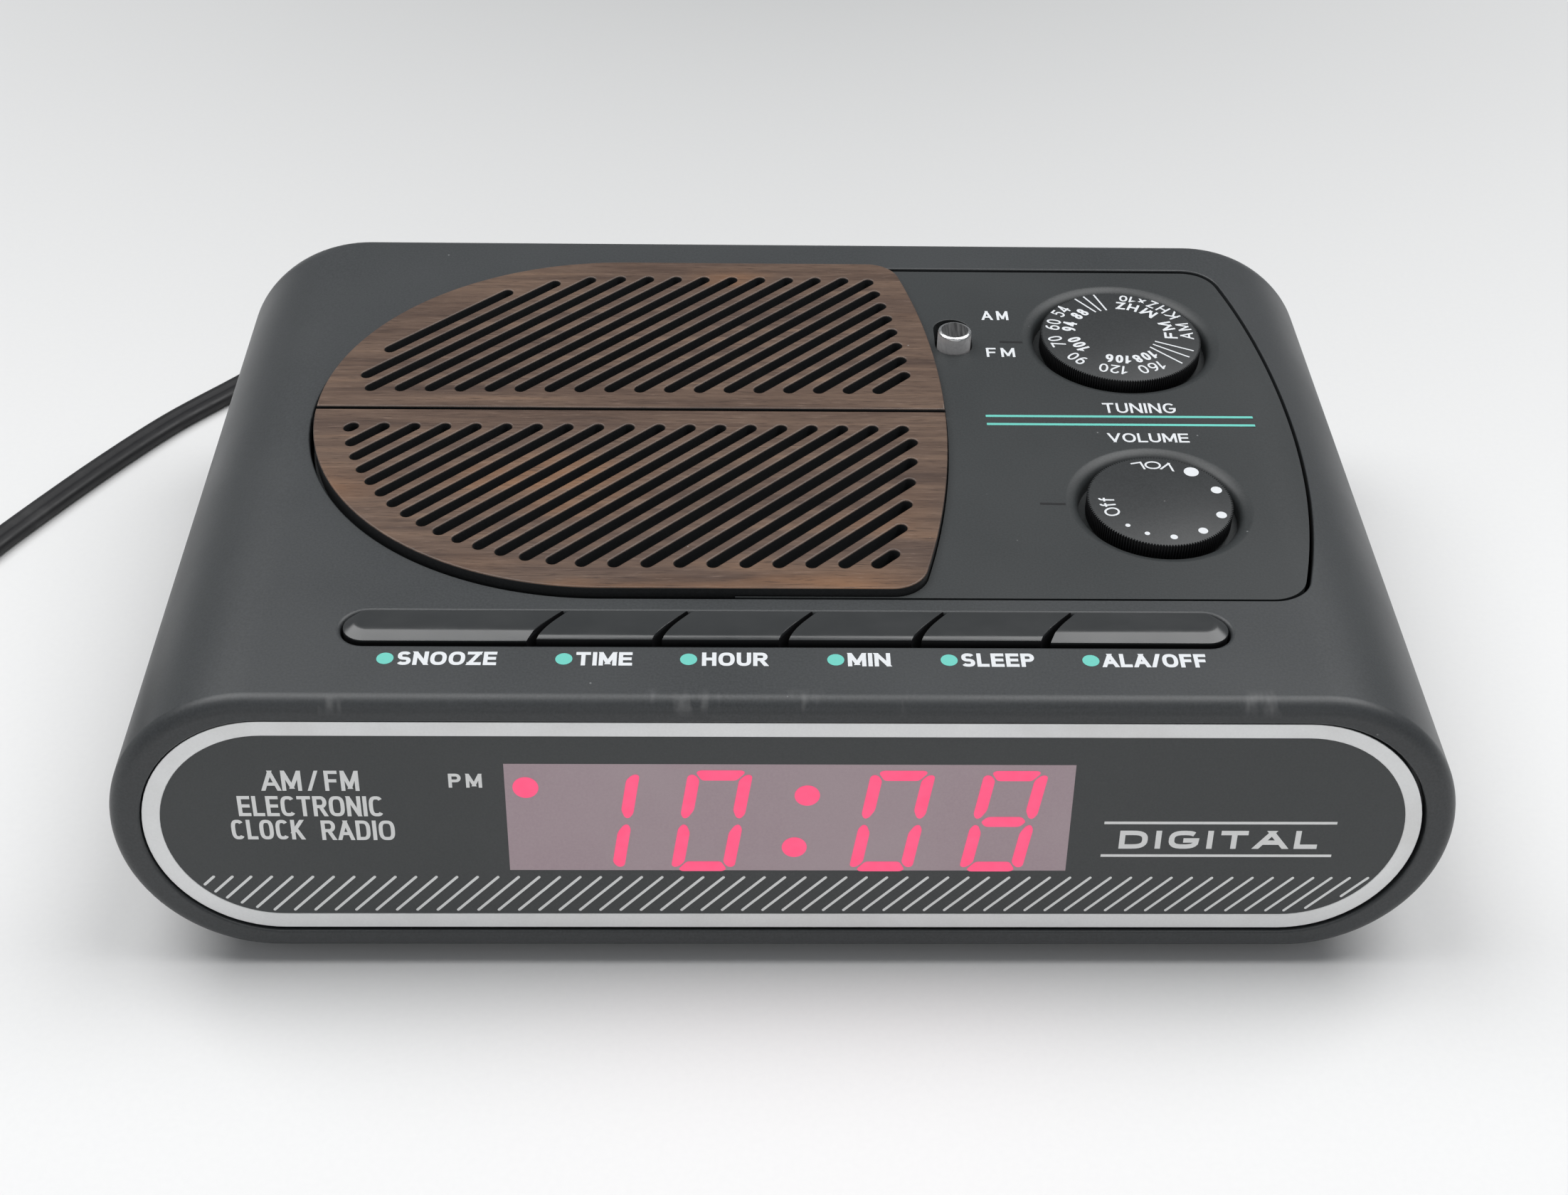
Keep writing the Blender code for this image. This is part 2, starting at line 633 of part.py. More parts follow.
def build_speaker():
    place = (SPEAKER_X, INSERT_Y, 0.0)
    frame = [(SPEAKER_RADIUS, 45.4), (SPEAKER_RADIUS, 44.2), (33.5, 44.2), (19.0, 33.0), (19.0, 30.2),
             (11.5, 30.2), (11.5, 31.4), (17.5, 31.4), (17.5, 33.8), (32.6, 45.4)]
    turned("speaker_frame", frame, place, steel(), steps=24)
    cone = [(31.0, 45.0), (31.0, 44.5), (11.0, 35.6), (11.0, 32.6), (9.6, 32.6), (9.6, 36.6), (29.5, 45.0)]
    turned("speaker_cone", cone, place, material("paper_cone", (0.03, 0.03, 0.03), 0.85), steps=24)
    cylinder("speaker_magnet", SPEAKER_X, INSERT_Y, 19.0, 29.9, 19.5, material("ferrite", (0.06, 0.06, 0.065), 0.5),
             sides=28)


def build_transformer():
    x, y = -71.0, -14.0
    core = box("transformer_core", (x - 17, y - 14, 10.0), (x + 17, y + 14, 38.0),
               material("laminated_iron", (0.2, 0.2, 0.21), 0.5, 0.8))
    for side in (-1, 1):
        low, high = sorted((x + side * 5.0, x + side * 12.0))
        cut(core, box(f"core_window_{side + 1}", (low, y - 20, 15.0), (high, y + 20, 33.0)))
    coil = box("transformer_coil", (x - 11.6, y - 18, 15.4), (x + 11.6, y + 18, 32.6),
               material("yellow_tape", (0.75, 0.55, 0.12), 0.45))
    cut(coil, box("coil_core_space", (x - 5.4, y - 14.4, 0.0), (x + 5.4, y + 14.4, 50.0)))
    clear_core_from_coil(coil, x, y)


def clear_core_from_coil(coil, x, y):
    """The coil keeps clear of the core above and below the windows."""
    for side in (-1, 1):
        low, high = sorted((x + side * 11.7, x + side * 25.0))
        cut(coil, box(f"coil_side_{side + 1}", (low, y - 30, 0.0), (high, y + 30, 60.0)))


def build_board():
    box("main_board", (22.0, -32.0, BOARD_Z), (88.0, 56.0, BOARD_Z + BOARD_THICK), board_green())
    low = BOARD_Z + BOARD_THICK + GAP
    box("clock_chip", (38.0, 4.0, low), (72.0, 12.0, low + 4.0), black_plastic())
    box("radio_chip", (30.0, -8.0, low), (38.0, 12.0, low + 4.0), black_plastic())
    cylinder("filter_capacitor", 31.0, -22.0, low, low + 12.0, 4.5, material("blue_sleeve", (0.03, 0.06, 0.25), 0.35),
             sides=20)


def build_antenna():
    rod = cylinder("ferrite_rod", 0, 0, -36.0, 36.0, 4.0, material("ferrite_grey", (0.09, 0.085, 0.085), 0.6), sides=16)
    ring = [(5.2, 8.0), (5.2, -8.0), (4.0 + GAP, -8.0), (4.0 + GAP, 8.0)]
    coil = turned("ferrite_coil", ring, (0.0, 0.0, 0.0), material("copper_wire", (0.6, 0.3, 0.16), 0.35, 0.9), steps=20)
    for piece, x in ((rod, -14.0), (coil, -34.0)):
        piece.rotation_euler.y = math.pi / 2
        piece.location = Vector((x, 57.0, 18.0)) * MM


def build_battery():
    shell = box("battery_box", (BATTERY_X - 27.0, BATTERY_Y - 16.0, 5.5), (BATTERY_X + 27.0, BATTERY_Y + 16.0, 25.0),
                black_plastic())
    cut(shell, box("battery_space", (BATTERY_X - 25.5, BATTERY_Y - 14.5, 0.0), (BATTERY_X + 25.5, BATTERY_Y + 14.5, 23.6)))
    cell = box("battery_9v", (BATTERY_X - 23.0, BATTERY_Y - 12.5, 5.8), (BATTERY_X + 20.0, BATTERY_Y + 12.5, 22.6),
               material("battery_label", (0.28, 0.29, 0.3), 0.35, 0.5))
    round_edges(cell, 1.2)
    box("battery_snap", (BATTERY_X + 20.4, BATTERY_Y - 12.0, 7.0), (BATTERY_X + 24.6, BATTERY_Y + 12.0, 21.5),
        black_plastic())
    box("battery_door", (BATTERY_X - 25.6, BATTERY_Y - 14.6, BOTTOM), (BATTERY_X + 25.6, BATTERY_Y + 14.6, BOTTOM + 1.0),
        charcoal())


def build_feet_and_screws():
    rubber = material("rubber", (0.015, 0.015, 0.015), 0.8)
    for number, (x, y) in enumerate(FOOT_PLACES, 1):
        turned(f"foot_{number}", [(0.0, 2.7), (6.0, 2.7), (5.6, 0.0), (0.0, 0.0)], (x, y, 0.0), rubber, steps=20)
    for number, (x, y) in enumerate(SCREW_PLACES, 1):
        turned(f"case_screw_{number}", [(0.0, 22.0), (0.6, 22.0), (1.4, 20.0), (1.4, 7.6), (2.6, 7.6), (2.4, 5.6),
                                        (0.0, 5.6)], (x, y, 0.0), steel(), steps=12)


# ---------------------------------------------------------------- cord

def smooth_route(points, spacing):
    """Even points along a Catmull-Rom curve through the route."""
    fine = []
    padded = [points[0]] + list(points) + [points[-1]]
    for a, b, c, d in zip(padded, padded[1:], padded[2:], padded[3:]):
        a, b, c, d = (Vector(p) for p in (a, b, c, d))
        for step in range(24):
            t = step / 24
            fine.append(0.5 * (2 * b + (c - a) * t + (2 * a - 5 * b + 4 * c - d) * t ** 2
                               + (3 * b - a - 3 * c + d) * t ** 3))
    fine.append(Vector(points[-1]))
    lengths = [0.0]
    for a, b in zip(fine, fine[1:]):
        lengths.append(lengths[-1] + (b - a).length)
    count = max(2, round(lengths[-1] / spacing))
    even = []
    place = 0
    for number in range(count + 1):
        wanted = lengths[-1] * number / count
        while place < len(fine) - 2 and lengths[place + 1] < wanted:
            place += 1
        run = lengths[place + 1] - lengths[place]
        share = (wanted - lengths[place]) / run if run > 0 else 0.0
        even.append(fine[place].lerp(fine[place + 1], min(1.0, max(0.0, share))))
    return even


def approach_to_coil():
    """Last points of the loose stretch, running straight at the coil's side."""
    heading = Vector((-0.30, -0.954, 0.0)).normalized()
    touch = coil_touch_point(heading)
    return [tuple(touch - heading * back) for back in (30.0, 20.2)]


def coil_touch_point(heading):
    """Where a straight cord with this heading meets the middle of the coil's outer row of turns."""
    side = Vector((-heading.y, heading.x, 0.0))
    return Vector((COIL_X, COIL_Y, CORD_Z)) + side * (COIL_RADIUS + COIL_BAND / 4)


def build_cord():
    rubber = material("cord_black", (0.016, 0.016, 0.017), 0.45)
    route = list(CORD_ROUTE) + approach_to_coil()
    curve = bpy.data.curves.new("power_cord", "CURVE")
    curve.dimensions = "3D"
    curve.bevel_depth = CORD_DIAMETER / 2 * MM
    curve.bevel_resolution = 2
    curve.use_fill_caps = True
    curve.resolution_u = 1
    curve.render_resolution_u = 0
    points = smooth_route(route, 2.4 * CORD_DIAMETER)
    spline = curve.splines.new("POLY")
    spline.points.add(len(points) - 1)
    for place, point in zip(spline.points, points):
        place.co = (point.x * MM, point.y * MM, point.z * MM, 1.0)
    curve.materials.append(rubber)
    cord = bpy.data.objects.new("power_cord", curve)
    PARTS.objects.link(cord)


def build_coil():
    inner, outer = COIL_RADIUS - COIL_BAND / 2, COIL_RADIUS + COIL_BAND / 2
    low, high = 0.1, COIL_HEIGHT + 0.1
    ring = [(inner + 1.2, high), (outer - 1.2, high), (outer, high - 1.2), (outer, low + 1.2), (outer - 1.2, low),
            (inner + 1.2, low), (inner, low + 1.2), (inner, high - 1.2)]
    turned("cord_coil", ring, (COIL_X, COIL_Y, 0.0), material("cord_black", (0.016, 0.016, 0.017), 0.45), steps=28)


def build_strain_relief():
    profile = [(0.0, RELIEF_END - BACK_Y), (3.2, RELIEF_END - BACK_Y), (4.4, 2.4), (5.6, 2.2), (5.8, 0.35),
               (3.8, 0.35), (3.8, -2.6), (5.4, -2.6), (5.4, -5.5), (0.0, -5.5)]
    turned("strain_relief", profile, (RELIEF_X, BACK_Y, RELIEF_Z), material("cord_black", (0.016, 0.016, 0.017), 0.45),
           steps=20, turn=(-math.pi / 2, 0.0, 0.0))


def build_plug():
    x = COIL_X - COIL_RADIUS - COIL_BAND / 4
    near = COIL_Y + math.sqrt((COIL_RADIUS + COIL_BAND / 2) ** 2 - (x + 2.6 - COIL_X) ** 2) + 0.5
    black = material("cord_black", (0.016, 0.016, 0.017), 0.45)
    neck_end, body_end = near + 13.0, near + 36.0
    body = box("plug_body", (x - 9.0, neck_end, 0.1), (x + 9.0, body_end, 13.1), black)
    round_edges(body, 2.2, 3)
    neck = cylinder("plug_neck", 0, 0, 0.0, 14.5, 2.6, sides=16, top_radius=5.4)
    neck.rotation_euler.x = -math.pi / 2
    neck.location = Vector((x, near, 6.6)) * MM
    join(body, neck)
    for name, side in (("left", -1), ("right", 1)):
        middle = x + side * 6.35
        box("plug_blade_" + name, (middle - 0.75, body_end + GAP, 3.4), (middle + 0.75, body_end + 16.5, 9.8),
            material("brass", (0.72, 0.6, 0.32), 0.3, 1.0))


# ---------------------------------------------------------------- the whole radio

build_top_cabinet()
build_bottom_cabinet()
build_control_panel()
build_grille()
build_front()
build_dials()
build_band_switch()
build_keys()
build_speaker()
build_transformer()
build_board()
build_antenna()
build_battery()
build_feet_and_screws()
build_cord()
build_coil()
build_strain_relief()
build_plug()
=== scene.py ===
"""Looks of a low table clock radio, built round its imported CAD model.

Sizes are in millimetres; MM turns them into Blender's metres. X is to the right, Y to the back, Z up.
Flat artwork is drawn in its own (x, y) frame and then laid on the top or stood on the leaning front.
"""
import math

import bmesh
import bpy
from mathutils import Matrix, Vector


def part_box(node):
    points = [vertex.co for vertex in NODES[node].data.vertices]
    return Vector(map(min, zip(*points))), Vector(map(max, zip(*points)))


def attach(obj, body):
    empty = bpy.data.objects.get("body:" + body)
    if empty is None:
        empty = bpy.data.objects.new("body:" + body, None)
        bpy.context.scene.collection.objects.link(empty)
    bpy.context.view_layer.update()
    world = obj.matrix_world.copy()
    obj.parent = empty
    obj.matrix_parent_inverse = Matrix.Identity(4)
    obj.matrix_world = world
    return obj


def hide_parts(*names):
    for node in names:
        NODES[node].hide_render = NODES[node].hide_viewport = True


MM = 0.001
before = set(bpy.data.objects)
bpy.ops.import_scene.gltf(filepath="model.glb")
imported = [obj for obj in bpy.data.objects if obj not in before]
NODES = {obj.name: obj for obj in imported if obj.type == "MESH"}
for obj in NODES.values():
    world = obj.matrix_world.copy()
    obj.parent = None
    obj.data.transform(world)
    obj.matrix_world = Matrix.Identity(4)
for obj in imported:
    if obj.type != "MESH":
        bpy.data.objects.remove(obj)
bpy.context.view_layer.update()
KEY_NAMES = ("snooze", "time", "hour", "minute", "sleep", "alarm_off")


def low_high(node):
    low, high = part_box(node)
    return low / MM, high / MM


def middle_of(node):
    return [(low + high) / 2 for low, high in zip(*low_high(node))]


# ---------------------------------------------------------------- sizes taken from the frame

shell_low, shell_high = low_high("top_cabinet")
TOP = shell_high.z
BOTTOM = low_high("bottom_cabinet")[0].z
HALF_WIDTH = shell_high.x
BACK_Y = shell_high.y
SIDE_RADIUS = (TOP - BOTTOM) / 2
MID_HEIGHT = (TOP + BOTTOM) / 2
GRILLE_LOW, GRILLE_TOP = (corner.z for corner in low_high("grille_upper"))
RELIEF_PLACE = Vector(middle_of("strain_relief"))
COIL_PLACE = Vector(middle_of("cord_coil"))

# ---------------------------------------------------------------- the rest of the cabinet's own design

FRONT_Y = -62.5                # where the front face would meet the top
FRONT_TILT = math.radians(7.92)
WALL = 2.2
FRONT_ROUND = 2.2
BACK_ROUND = 3.0
BACK_CORNER = 5.5
PARTING_Z = 6.0
PARTING_FRONT = -61.0
GAP = 0.3
SIDE_STEPS = 56

INSERT_Y = 9.8
OPENING_HALF = 48.5
OPENING_LEFT_X = -29.0
OPENING_LEFT_RADIUS = 51.3
OPENING_RIGHT = 88.7
OPENING_BULGE = 156.0
OPENING_CORNER = 7.0
PANEL_CLEARANCE = 0.35
PANEL_GAP = 0.65
PANEL_SHIFT = (-0.15, -0.40)   # the plate sits a little off the middle of its opening
PANEL_FLOOR_TOP = 47.2
PANEL_FLOOR_BOTTOM = 45.8
SPEAKER_HOLE = 33.0
RELIEF_HOLE = 4.2
SCREW_HOLE = 2.95
OUTSIDE, INSIDE = -2.0, 8.0    # how far the cutters for the bottom reach, down and up

GRILLE_GAP = 0.75
POCKET_GAP = 0.25
GRILLE_RIGHT = 27.9
GRILLE_BULGE = 165.0
GRILLE_CORNER = 6.0
SEAM = 0.75
SLOT_WIDTH = 1.98
SLOT_MARGIN = 6.0
SLOT_PITCH = 5.16
SLOT_ANGLE = math.radians(44.5)

DISH_MARGIN = 3.55            # from a dial to the rim of its cup
DISH_FLOOR = 46.7
CUP_BOTTOM, CUP_TOP = 45.0, 47.0
CUP_WALL = 1.3
STEM_RADIUS = 4.0
STEM_HOLE = 4.5

KEY_Y = -45.85
KEY_SLOT_HALF = 67.75
KEY_SLOT_RADIUS = 3.85
KEY_GAP = 0.55
KEY_CUT_OFF = 0.9
KEY_BOTTOM = 44.0
KEY_FRONT_GAP = 0.45
KEY_SLANT = 2.2
KEY_JOINS = (-36.0, -17.1, 2.0, 22.1, 41.7)

LENS_HALF = 97.3
LENS_RADIUS = 19.68
LENS_DOWN = 23.6
LENS_SHIFT = -0.17             # the lens sits a little to the left in its seat
LENS_DEEP = 0.6
LENS_THICK = 1.6
LENS_CLEARANCE = 0.35
WINDOW_LEFT = -42.4
WINDOW_RIGHT = 43.2
WINDOW_TOP = 11.5              # measured down the face
WINDOW_BOTTOM = 31.75

CORD_WIDTH = 5.5
CORD_THICK = 2.8
CORD_Z = CORD_WIDTH / 2 + 0.1
CORD_FLAT_Z = CORD_THICK / 2 + 0.1
COIL_RADIUS = 31.0
COIL_STEP = 2.75               # each column of turns lies this far in or out of the coil's middle radius
PRINT = 0.02                   # height of printed ink above the face that carries it


# ---------------------------------------------------------------- outlines

def arc(centre, radius, start, stop, steps, flat=1.0):
    angles = [start + (stop - start) * step / steps for step in range(steps + 1)]
    return [(centre[0] + radius * math.cos(angle), centre[1] + radius * flat * math.sin(angle))
            for angle in angles]


def pill(half, radius, steps, x=0.0, y=0.0):
    straight = half - radius
    right = arc((x + straight, y), radius, -math.pi / 2, math.pi / 2, steps)
    left = arc((x - straight, y), radius, math.pi / 2, 3 * math.pi / 2, steps)
    return right + left


def insert_outline(right, bulge, corner, half, left_radius):
    """Straight top and bottom edges, an elliptical left end and a gently bulging right end."""
    centre_x = right - bulge
    corner_x = centre_x + math.sqrt((bulge - corner) ** 2 - (half - corner) ** 2)
    lean = math.atan2(half - corner, corner_x - centre_x)
    points = arc((corner_x, INSERT_Y - half + corner), corner, -math.pi / 2, -lean, 12)
    points += arc((centre_x, INSERT_Y), bulge, -lean, lean, 30)[1:-1]
    points += arc((corner_x, INSERT_Y + half - corner), corner, lean, math.pi / 2, 12)
    points += arc((OPENING_LEFT_X, INSERT_Y), left_radius, math.pi / 2, 3 * math.pi / 2, 80,
                  half / left_radius)
    return points


def opening_outline(offset):
    return insert_outline(OPENING_RIGHT + offset, OPENING_BULGE + offset, OPENING_CORNER + offset,
                          OPENING_HALF + offset, OPENING_LEFT_RADIUS + offset)


def grille_outline(offset):
    return insert_outline(GRILLE_RIGHT + offset, GRILLE_BULGE + offset, GRILLE_CORNER,
                          OPENING_HALF - GRILLE_GAP + offset, OPENING_LEFT_RADIUS - GRILLE_GAP + offset)


def key_slot_outline(offset):
    return pill(KEY_SLOT_HALF + offset, KEY_SLOT_RADIUS + offset, 16, 0.0, KEY_Y)


def lens_outline(offset, shift=LENS_SHIFT, lift=0.05):
    return pill(LENS_HALF + offset, LENS_RADIUS + offset, 40, shift, lift)


# ---------------------------------------------------------------- meshes

def add_object(name, data):
    thing = bpy.data.objects.new(name, data)
    bpy.context.scene.collection.objects.link(thing)
    return thing


def add_mesh(name, shape, finish, sharp=32.0, closed=True):
    """Turns a bmesh in millimetres into an object in metres."""
    if closed:
        bmesh.ops.recalc_face_normals(shape, faces=shape.faces)
    bmesh.ops.scale(shape, vec=(MM, MM, MM), verts=shape.verts)
    mesh = bpy.data.meshes.new(name)
    shape.to_mesh(mesh)
    shape.free()
    thing = add_object(name, mesh)
    mesh.materials.append(finish)
    soften(thing, sharp)
    return thing


def soften(thing, sharp=32.0):
    thing.data.shade_smooth()
    thing.data.set_sharp_from_angle(angle=math.radians(sharp))


def ring_stack(rings, close=True):
    """Closed loops of points, joined one to the next and capped at both ends."""
    shape = bmesh.new()
    loops = [[shape.verts.new(point) for point in ring] for ring in rings]
    count = len(loops[0])
    for near, far in zip(loops, loops[1:]):
        for i in range(count):
            j = (i + 1) % count
            shape.faces.new((near[i], near[j], far[j], far[i]))
    if close:
        shape.faces.new(loops[0])
        shape.faces.new(loops[-1])
    bmesh.ops.remove_doubles(shape, verts=shape.verts, dist=0.0001)
    return shape


def prism(outline, low, high):
    return ring_stack([[(x, y, z) for x, y in outline] for z in (low, high)])


def block(low, high):
    x0, y0 = low[:2]
    x1, y1 = high[:2]
    return prism([(x0, y0), (x1, y0), (x1, y1), (x0, y1)], low[2], high[2])


def turned(profile, x=0.0, y=0.0, steps=64):
    """A closed solid from a profile of (radius, height) points that starts and ends on the axis."""
    angles = [2 * math.pi * step / steps for step in range(steps)]
    return ring_stack([[(x + max(radius, 0.001) * math.cos(angle), y + max(radius, 0.001) * math.sin(angle),
                         height) for angle in angles] for radius, height in profile])


def apply_modifiers(thing):
    bpy.context.view_layer.update()
    evaluated = thing.evaluated_get(bpy.context.evaluated_depsgraph_get())
    mesh = bpy.data.meshes.new_from_object(evaluated)
    old = thing.data
    thing.modifiers.clear()
    thing.data = mesh
    bpy.data.meshes.remove(old)


def carve(target, shapes, operation="DIFFERENCE"):
    """Applies each shape to the target in turn."""
    tools = []
    for number, shape in enumerate(shapes):
        tool = add_mesh(f"{target.name}_tool_{number}", shape, target.data.materials[0])
        step = target.modifiers.new(f"carve_{number}", "BOOLEAN")
        step.operation = operation
        step.solver = "EXACT"
        step.object = tool
        tools.append(tool)
    apply_modifiers(target)
    for tool in tools:
        bpy.data.objects.remove(tool)


def even_shading(thing, sharp=32.0):
    soften(thing, sharp)
    weighted = thing.modifiers.new("even", "WEIGHTED_NORMAL")
    weighted.keep_sharp = True
    apply_modifiers(thing)


def top_height(x):
    """Height of the cabinet's outer skin above x."""
    over = max(0.0, abs(x) - (HALF_WIDTH - SIDE_RADIUS))
    return MID_HEIGHT + math.sqrt(max(0.0, SIDE_RADIUS ** 2 - over ** 2))


def rolled_cutter(outline, roll, floor, height=top_height, steps=5):
    """A pocket cutter whose mouth flares out, so that it leaves a rounded lip. outline takes an offset."""
    above = 0.03
    last = math.radians(76)
    rings = [[(x, y, floor) for x, y in outline(0.0)]]
    for step in range(steps + 1):
        angle = last * step / steps
        down = roll * (1 - math.sin(angle))
        rings.append([(x, y, height(x) - down) for x, y in outline(roll * (1 - math.cos(angle)))])
    rise = roll * (1 - math.sin(last)) + above
    out = roll * (1 - math.cos(last)) + rise / math.tan(math.pi / 2 - last)
    for clear in (above, 8.0):
        rings.append([(x, y, height(x) + clear) for x, y in outline(out)])
    return ring_stack(rings)


def stood_on_front(shape, deep=0.0):
    """Stands flat work made about the origin on the leaning front, its top looking out."""
    turn = Matrix.Rotation(math.pi / 2 - FRONT_TILT, 4, "X")
    across = Vector((0.0, -math.sin(FRONT_TILT), -math.cos(FRONT_TILT)))
    inward = Vector((0.0, math.cos(FRONT_TILT), -math.sin(FRONT_TILT)))
    place = Vector((0.0, FRONT_Y, TOP)) + across * LENS_DOWN + inward * deep
    bmesh.ops.transform(shape, matrix=Matrix.Translation(place) @ turn, verts=shape.verts)
    return shape


# ---------------------------------------------------------------- node materials

class Finish:
    """A node material built up from noises on the object's own coordinates, in metres."""

    def __init__(self, name, colour, roughness=0.5, metallic=0.0, specular=0.5):
        self.material = bpy.data.materials.new(name)
        self.material.use_nodes = True
        self.tree = self.material.node_tree
        self.shader = self.tree.nodes["Principled BSDF"]
        for socket, value in (("Base Color", (*colour, 1.0)), ("Roughness", roughness), ("Metallic", metallic),
                              ("Specular IOR Level", specular)):
            self.shader.inputs[socket].default_value = value
        self.place = self.node("ShaderNodeTexCoord").outputs["Object"]

    def node(self, kind, **settings):
        made = self.tree.nodes.new(kind)
        for name, value in settings.items():
            setattr(made, name, value)
        return made

    def link(self, source, target):
        self.tree.links.new(source, target)

    def feed(self, target, value):
        if hasattr(value, "is_output"):
            self.link(value, target)
        else:
            target.default_value = value

    def stretched(self, scale):
        mapping = self.node("ShaderNodeMapping")
        self.link(self.place, mapping.inputs["Vector"])
        mapping.inputs["Scale"].default_value = scale
        return mapping.outputs["Vector"]

    def noise(self, scale, detail=2.0, rough=0.5, stretch=None, warp=0.0):
        made = self.node("ShaderNodeTexNoise")
        self.link(self.place if stretch is None else self.stretched(stretch), made.inputs["Vector"])
        for socket, value in (("Scale", scale), ("Detail", detail), ("Roughness", rough), ("Distortion", warp)):
            made.inputs[socket].default_value = value
        return made.outputs["Fac"]

    def spots(self, scale, size, seldom=0.0):
        """Small round spots, one in each cell at most; seldom leaves that share of the cells empty."""
        cells = self.node("ShaderNodeTexVoronoi")
        self.link(self.place, cells.inputs["Vector"])
        cells.inputs["Scale"].default_value = scale
        near = self.remap(cells.outputs["Distance"], size, size * 0.5)
        if not seldom:
            return near
        chosen = self.node("ShaderNodeSeparateColor")
        self.link(cells.outputs["Color"], chosen.inputs["Color"])
        pick = self.maths("GREATER_THAN", chosen.outputs["Red"], seldom)
        return self.maths("MULTIPLY", near, pick)

    def remap(self, source, low, high, to_low=0.0, to_high=1.0):
        made = self.node("ShaderNodeMapRange")
        self.link(source, made.inputs["Value"])
        for name, value in (("From Min", low), ("From Max", high), ("To Min", to_low), ("To Max", to_high)):
            made.inputs[name].default_value = value
        return made.outputs["Result"]

    def maths(self, operation, a, b=0.0):
        made = self.node("ShaderNodeMath", operation=operation)
        self.feed(made.inputs[0], a)
        self.feed(made.inputs[1], b)
        return made.outputs["Value"]

    def axis(self, name):
        parts = self.node("ShaderNodeSeparateXYZ")
        self.link(self.place, parts.inputs["Vector"])
        return parts.outputs[name]

    def blend(self, factor, first, second):
        made = self.node("ShaderNodeMix", data_type="RGBA")
        self.feed(made.inputs["Factor"], factor)
        for socket, value in ((made.inputs["A"], first), (made.inputs["B"], second)):
            self.feed(socket, value if hasattr(value, "is_output") else (*value[:3], 1.0))
        return made.outputs["Result"]

    def shades(self, factor, stops):
        made = self.node("ShaderNodeValToRGB")
        self.link(factor, made.inputs["Fac"])
        ramp = made.color_ramp
        while len(ramp.elements) < len(stops):
            ramp.elements.new(0.5)
        for element, (place, colour) in zip(ramp.elements, stops):
            element.position = place
            element.color = (*colour, 1.0)
        return made.outputs["Color"]

    def paint(self, colour):
        self.link(colour, self.shader.inputs["Base Color"])

    def roughen(self, source, low, high):
        self.link(self.remap(source, 0.3, 0.7, low, high), self.shader.inputs["Roughness"])

    def bump(self, height, strength=0.3, distance=0.05):
        made = self.node("ShaderNodeBump")
        self.link(height, made.inputs["Height"])
        made.inputs["Strength"].default_value = strength
        made.inputs["Distance"].default_value = distance * MM
        before = self.shader.inputs["Normal"]
        if before.is_linked:
            self.link(before.links[0].from_socket, made.inputs["Normal"])
        self.link(made.outputs["Normal"], before)


def tint(colour, amount):
    return tuple(min(1.0, channel * amount) for channel in colour)


def moulded(name, colour, roughness=0.5, grain=2600.0, dust=True):
    """Moulded plastic: fine spark-eroded grain, faint clouding, and a little dust."""
    finish = Finish(name, colour, roughness)
    fine = finish.noise(grain, 3.0, 0.6)
    cloud = finish.noise(22.0, 3.0, 0.6)
    speckle = finish.blend(finish.remap(fine, 0.35, 0.65), tint(colour, 0.80), tint(colour, 1.22))
    shade = finish.blend(finish.remap(cloud, 0.35, 0.65, 0.0, 0.35), speckle, tint(colour, 1.14))
    if dust:
        specks = finish.spots(240.0, 0.05, 0.90)
        shade = finish.blend(finish.maths("MULTIPLY", specks, 0.45), shade, (0.32, 0.33, 0.33))
    finish.paint(shade)
    finish.roughen(cloud, roughness - 0.05, roughness + 0.06)
    finish.bump(fine, 0.35, 0.02)
    return finish


def cabinet_plastic():
    """The shells' charcoal plastic, with scuffs along the front edge."""
    colour = (0.034, 0.037, 0.039)
    finish = moulded("charcoal_plastic", colour, 0.42)
    near_front = finish.remap(finish.axis("Y"), -59.0 * MM, -61.8 * MM)
    near_top = finish.remap(finish.axis("Z"), 47.5 * MM, 49.0 * MM)
    patch = finish.remap(finish.noise(95.0, 4.0, 0.7, (1.0, 0.3, 0.3)), 0.60, 0.68)
    scuff = finish.maths("MULTIPLY", finish.maths("MULTIPLY", near_front, near_top), patch)
    before = finish.shader.inputs["Base Color"].links[0].from_socket
    finish.paint(finish.blend(finish.maths("MULTIPLY", scuff, 0.35), before, (0.22, 0.22, 0.22)))
    finish.bump(scuff, 0.4, 0.05)
    return finish.material


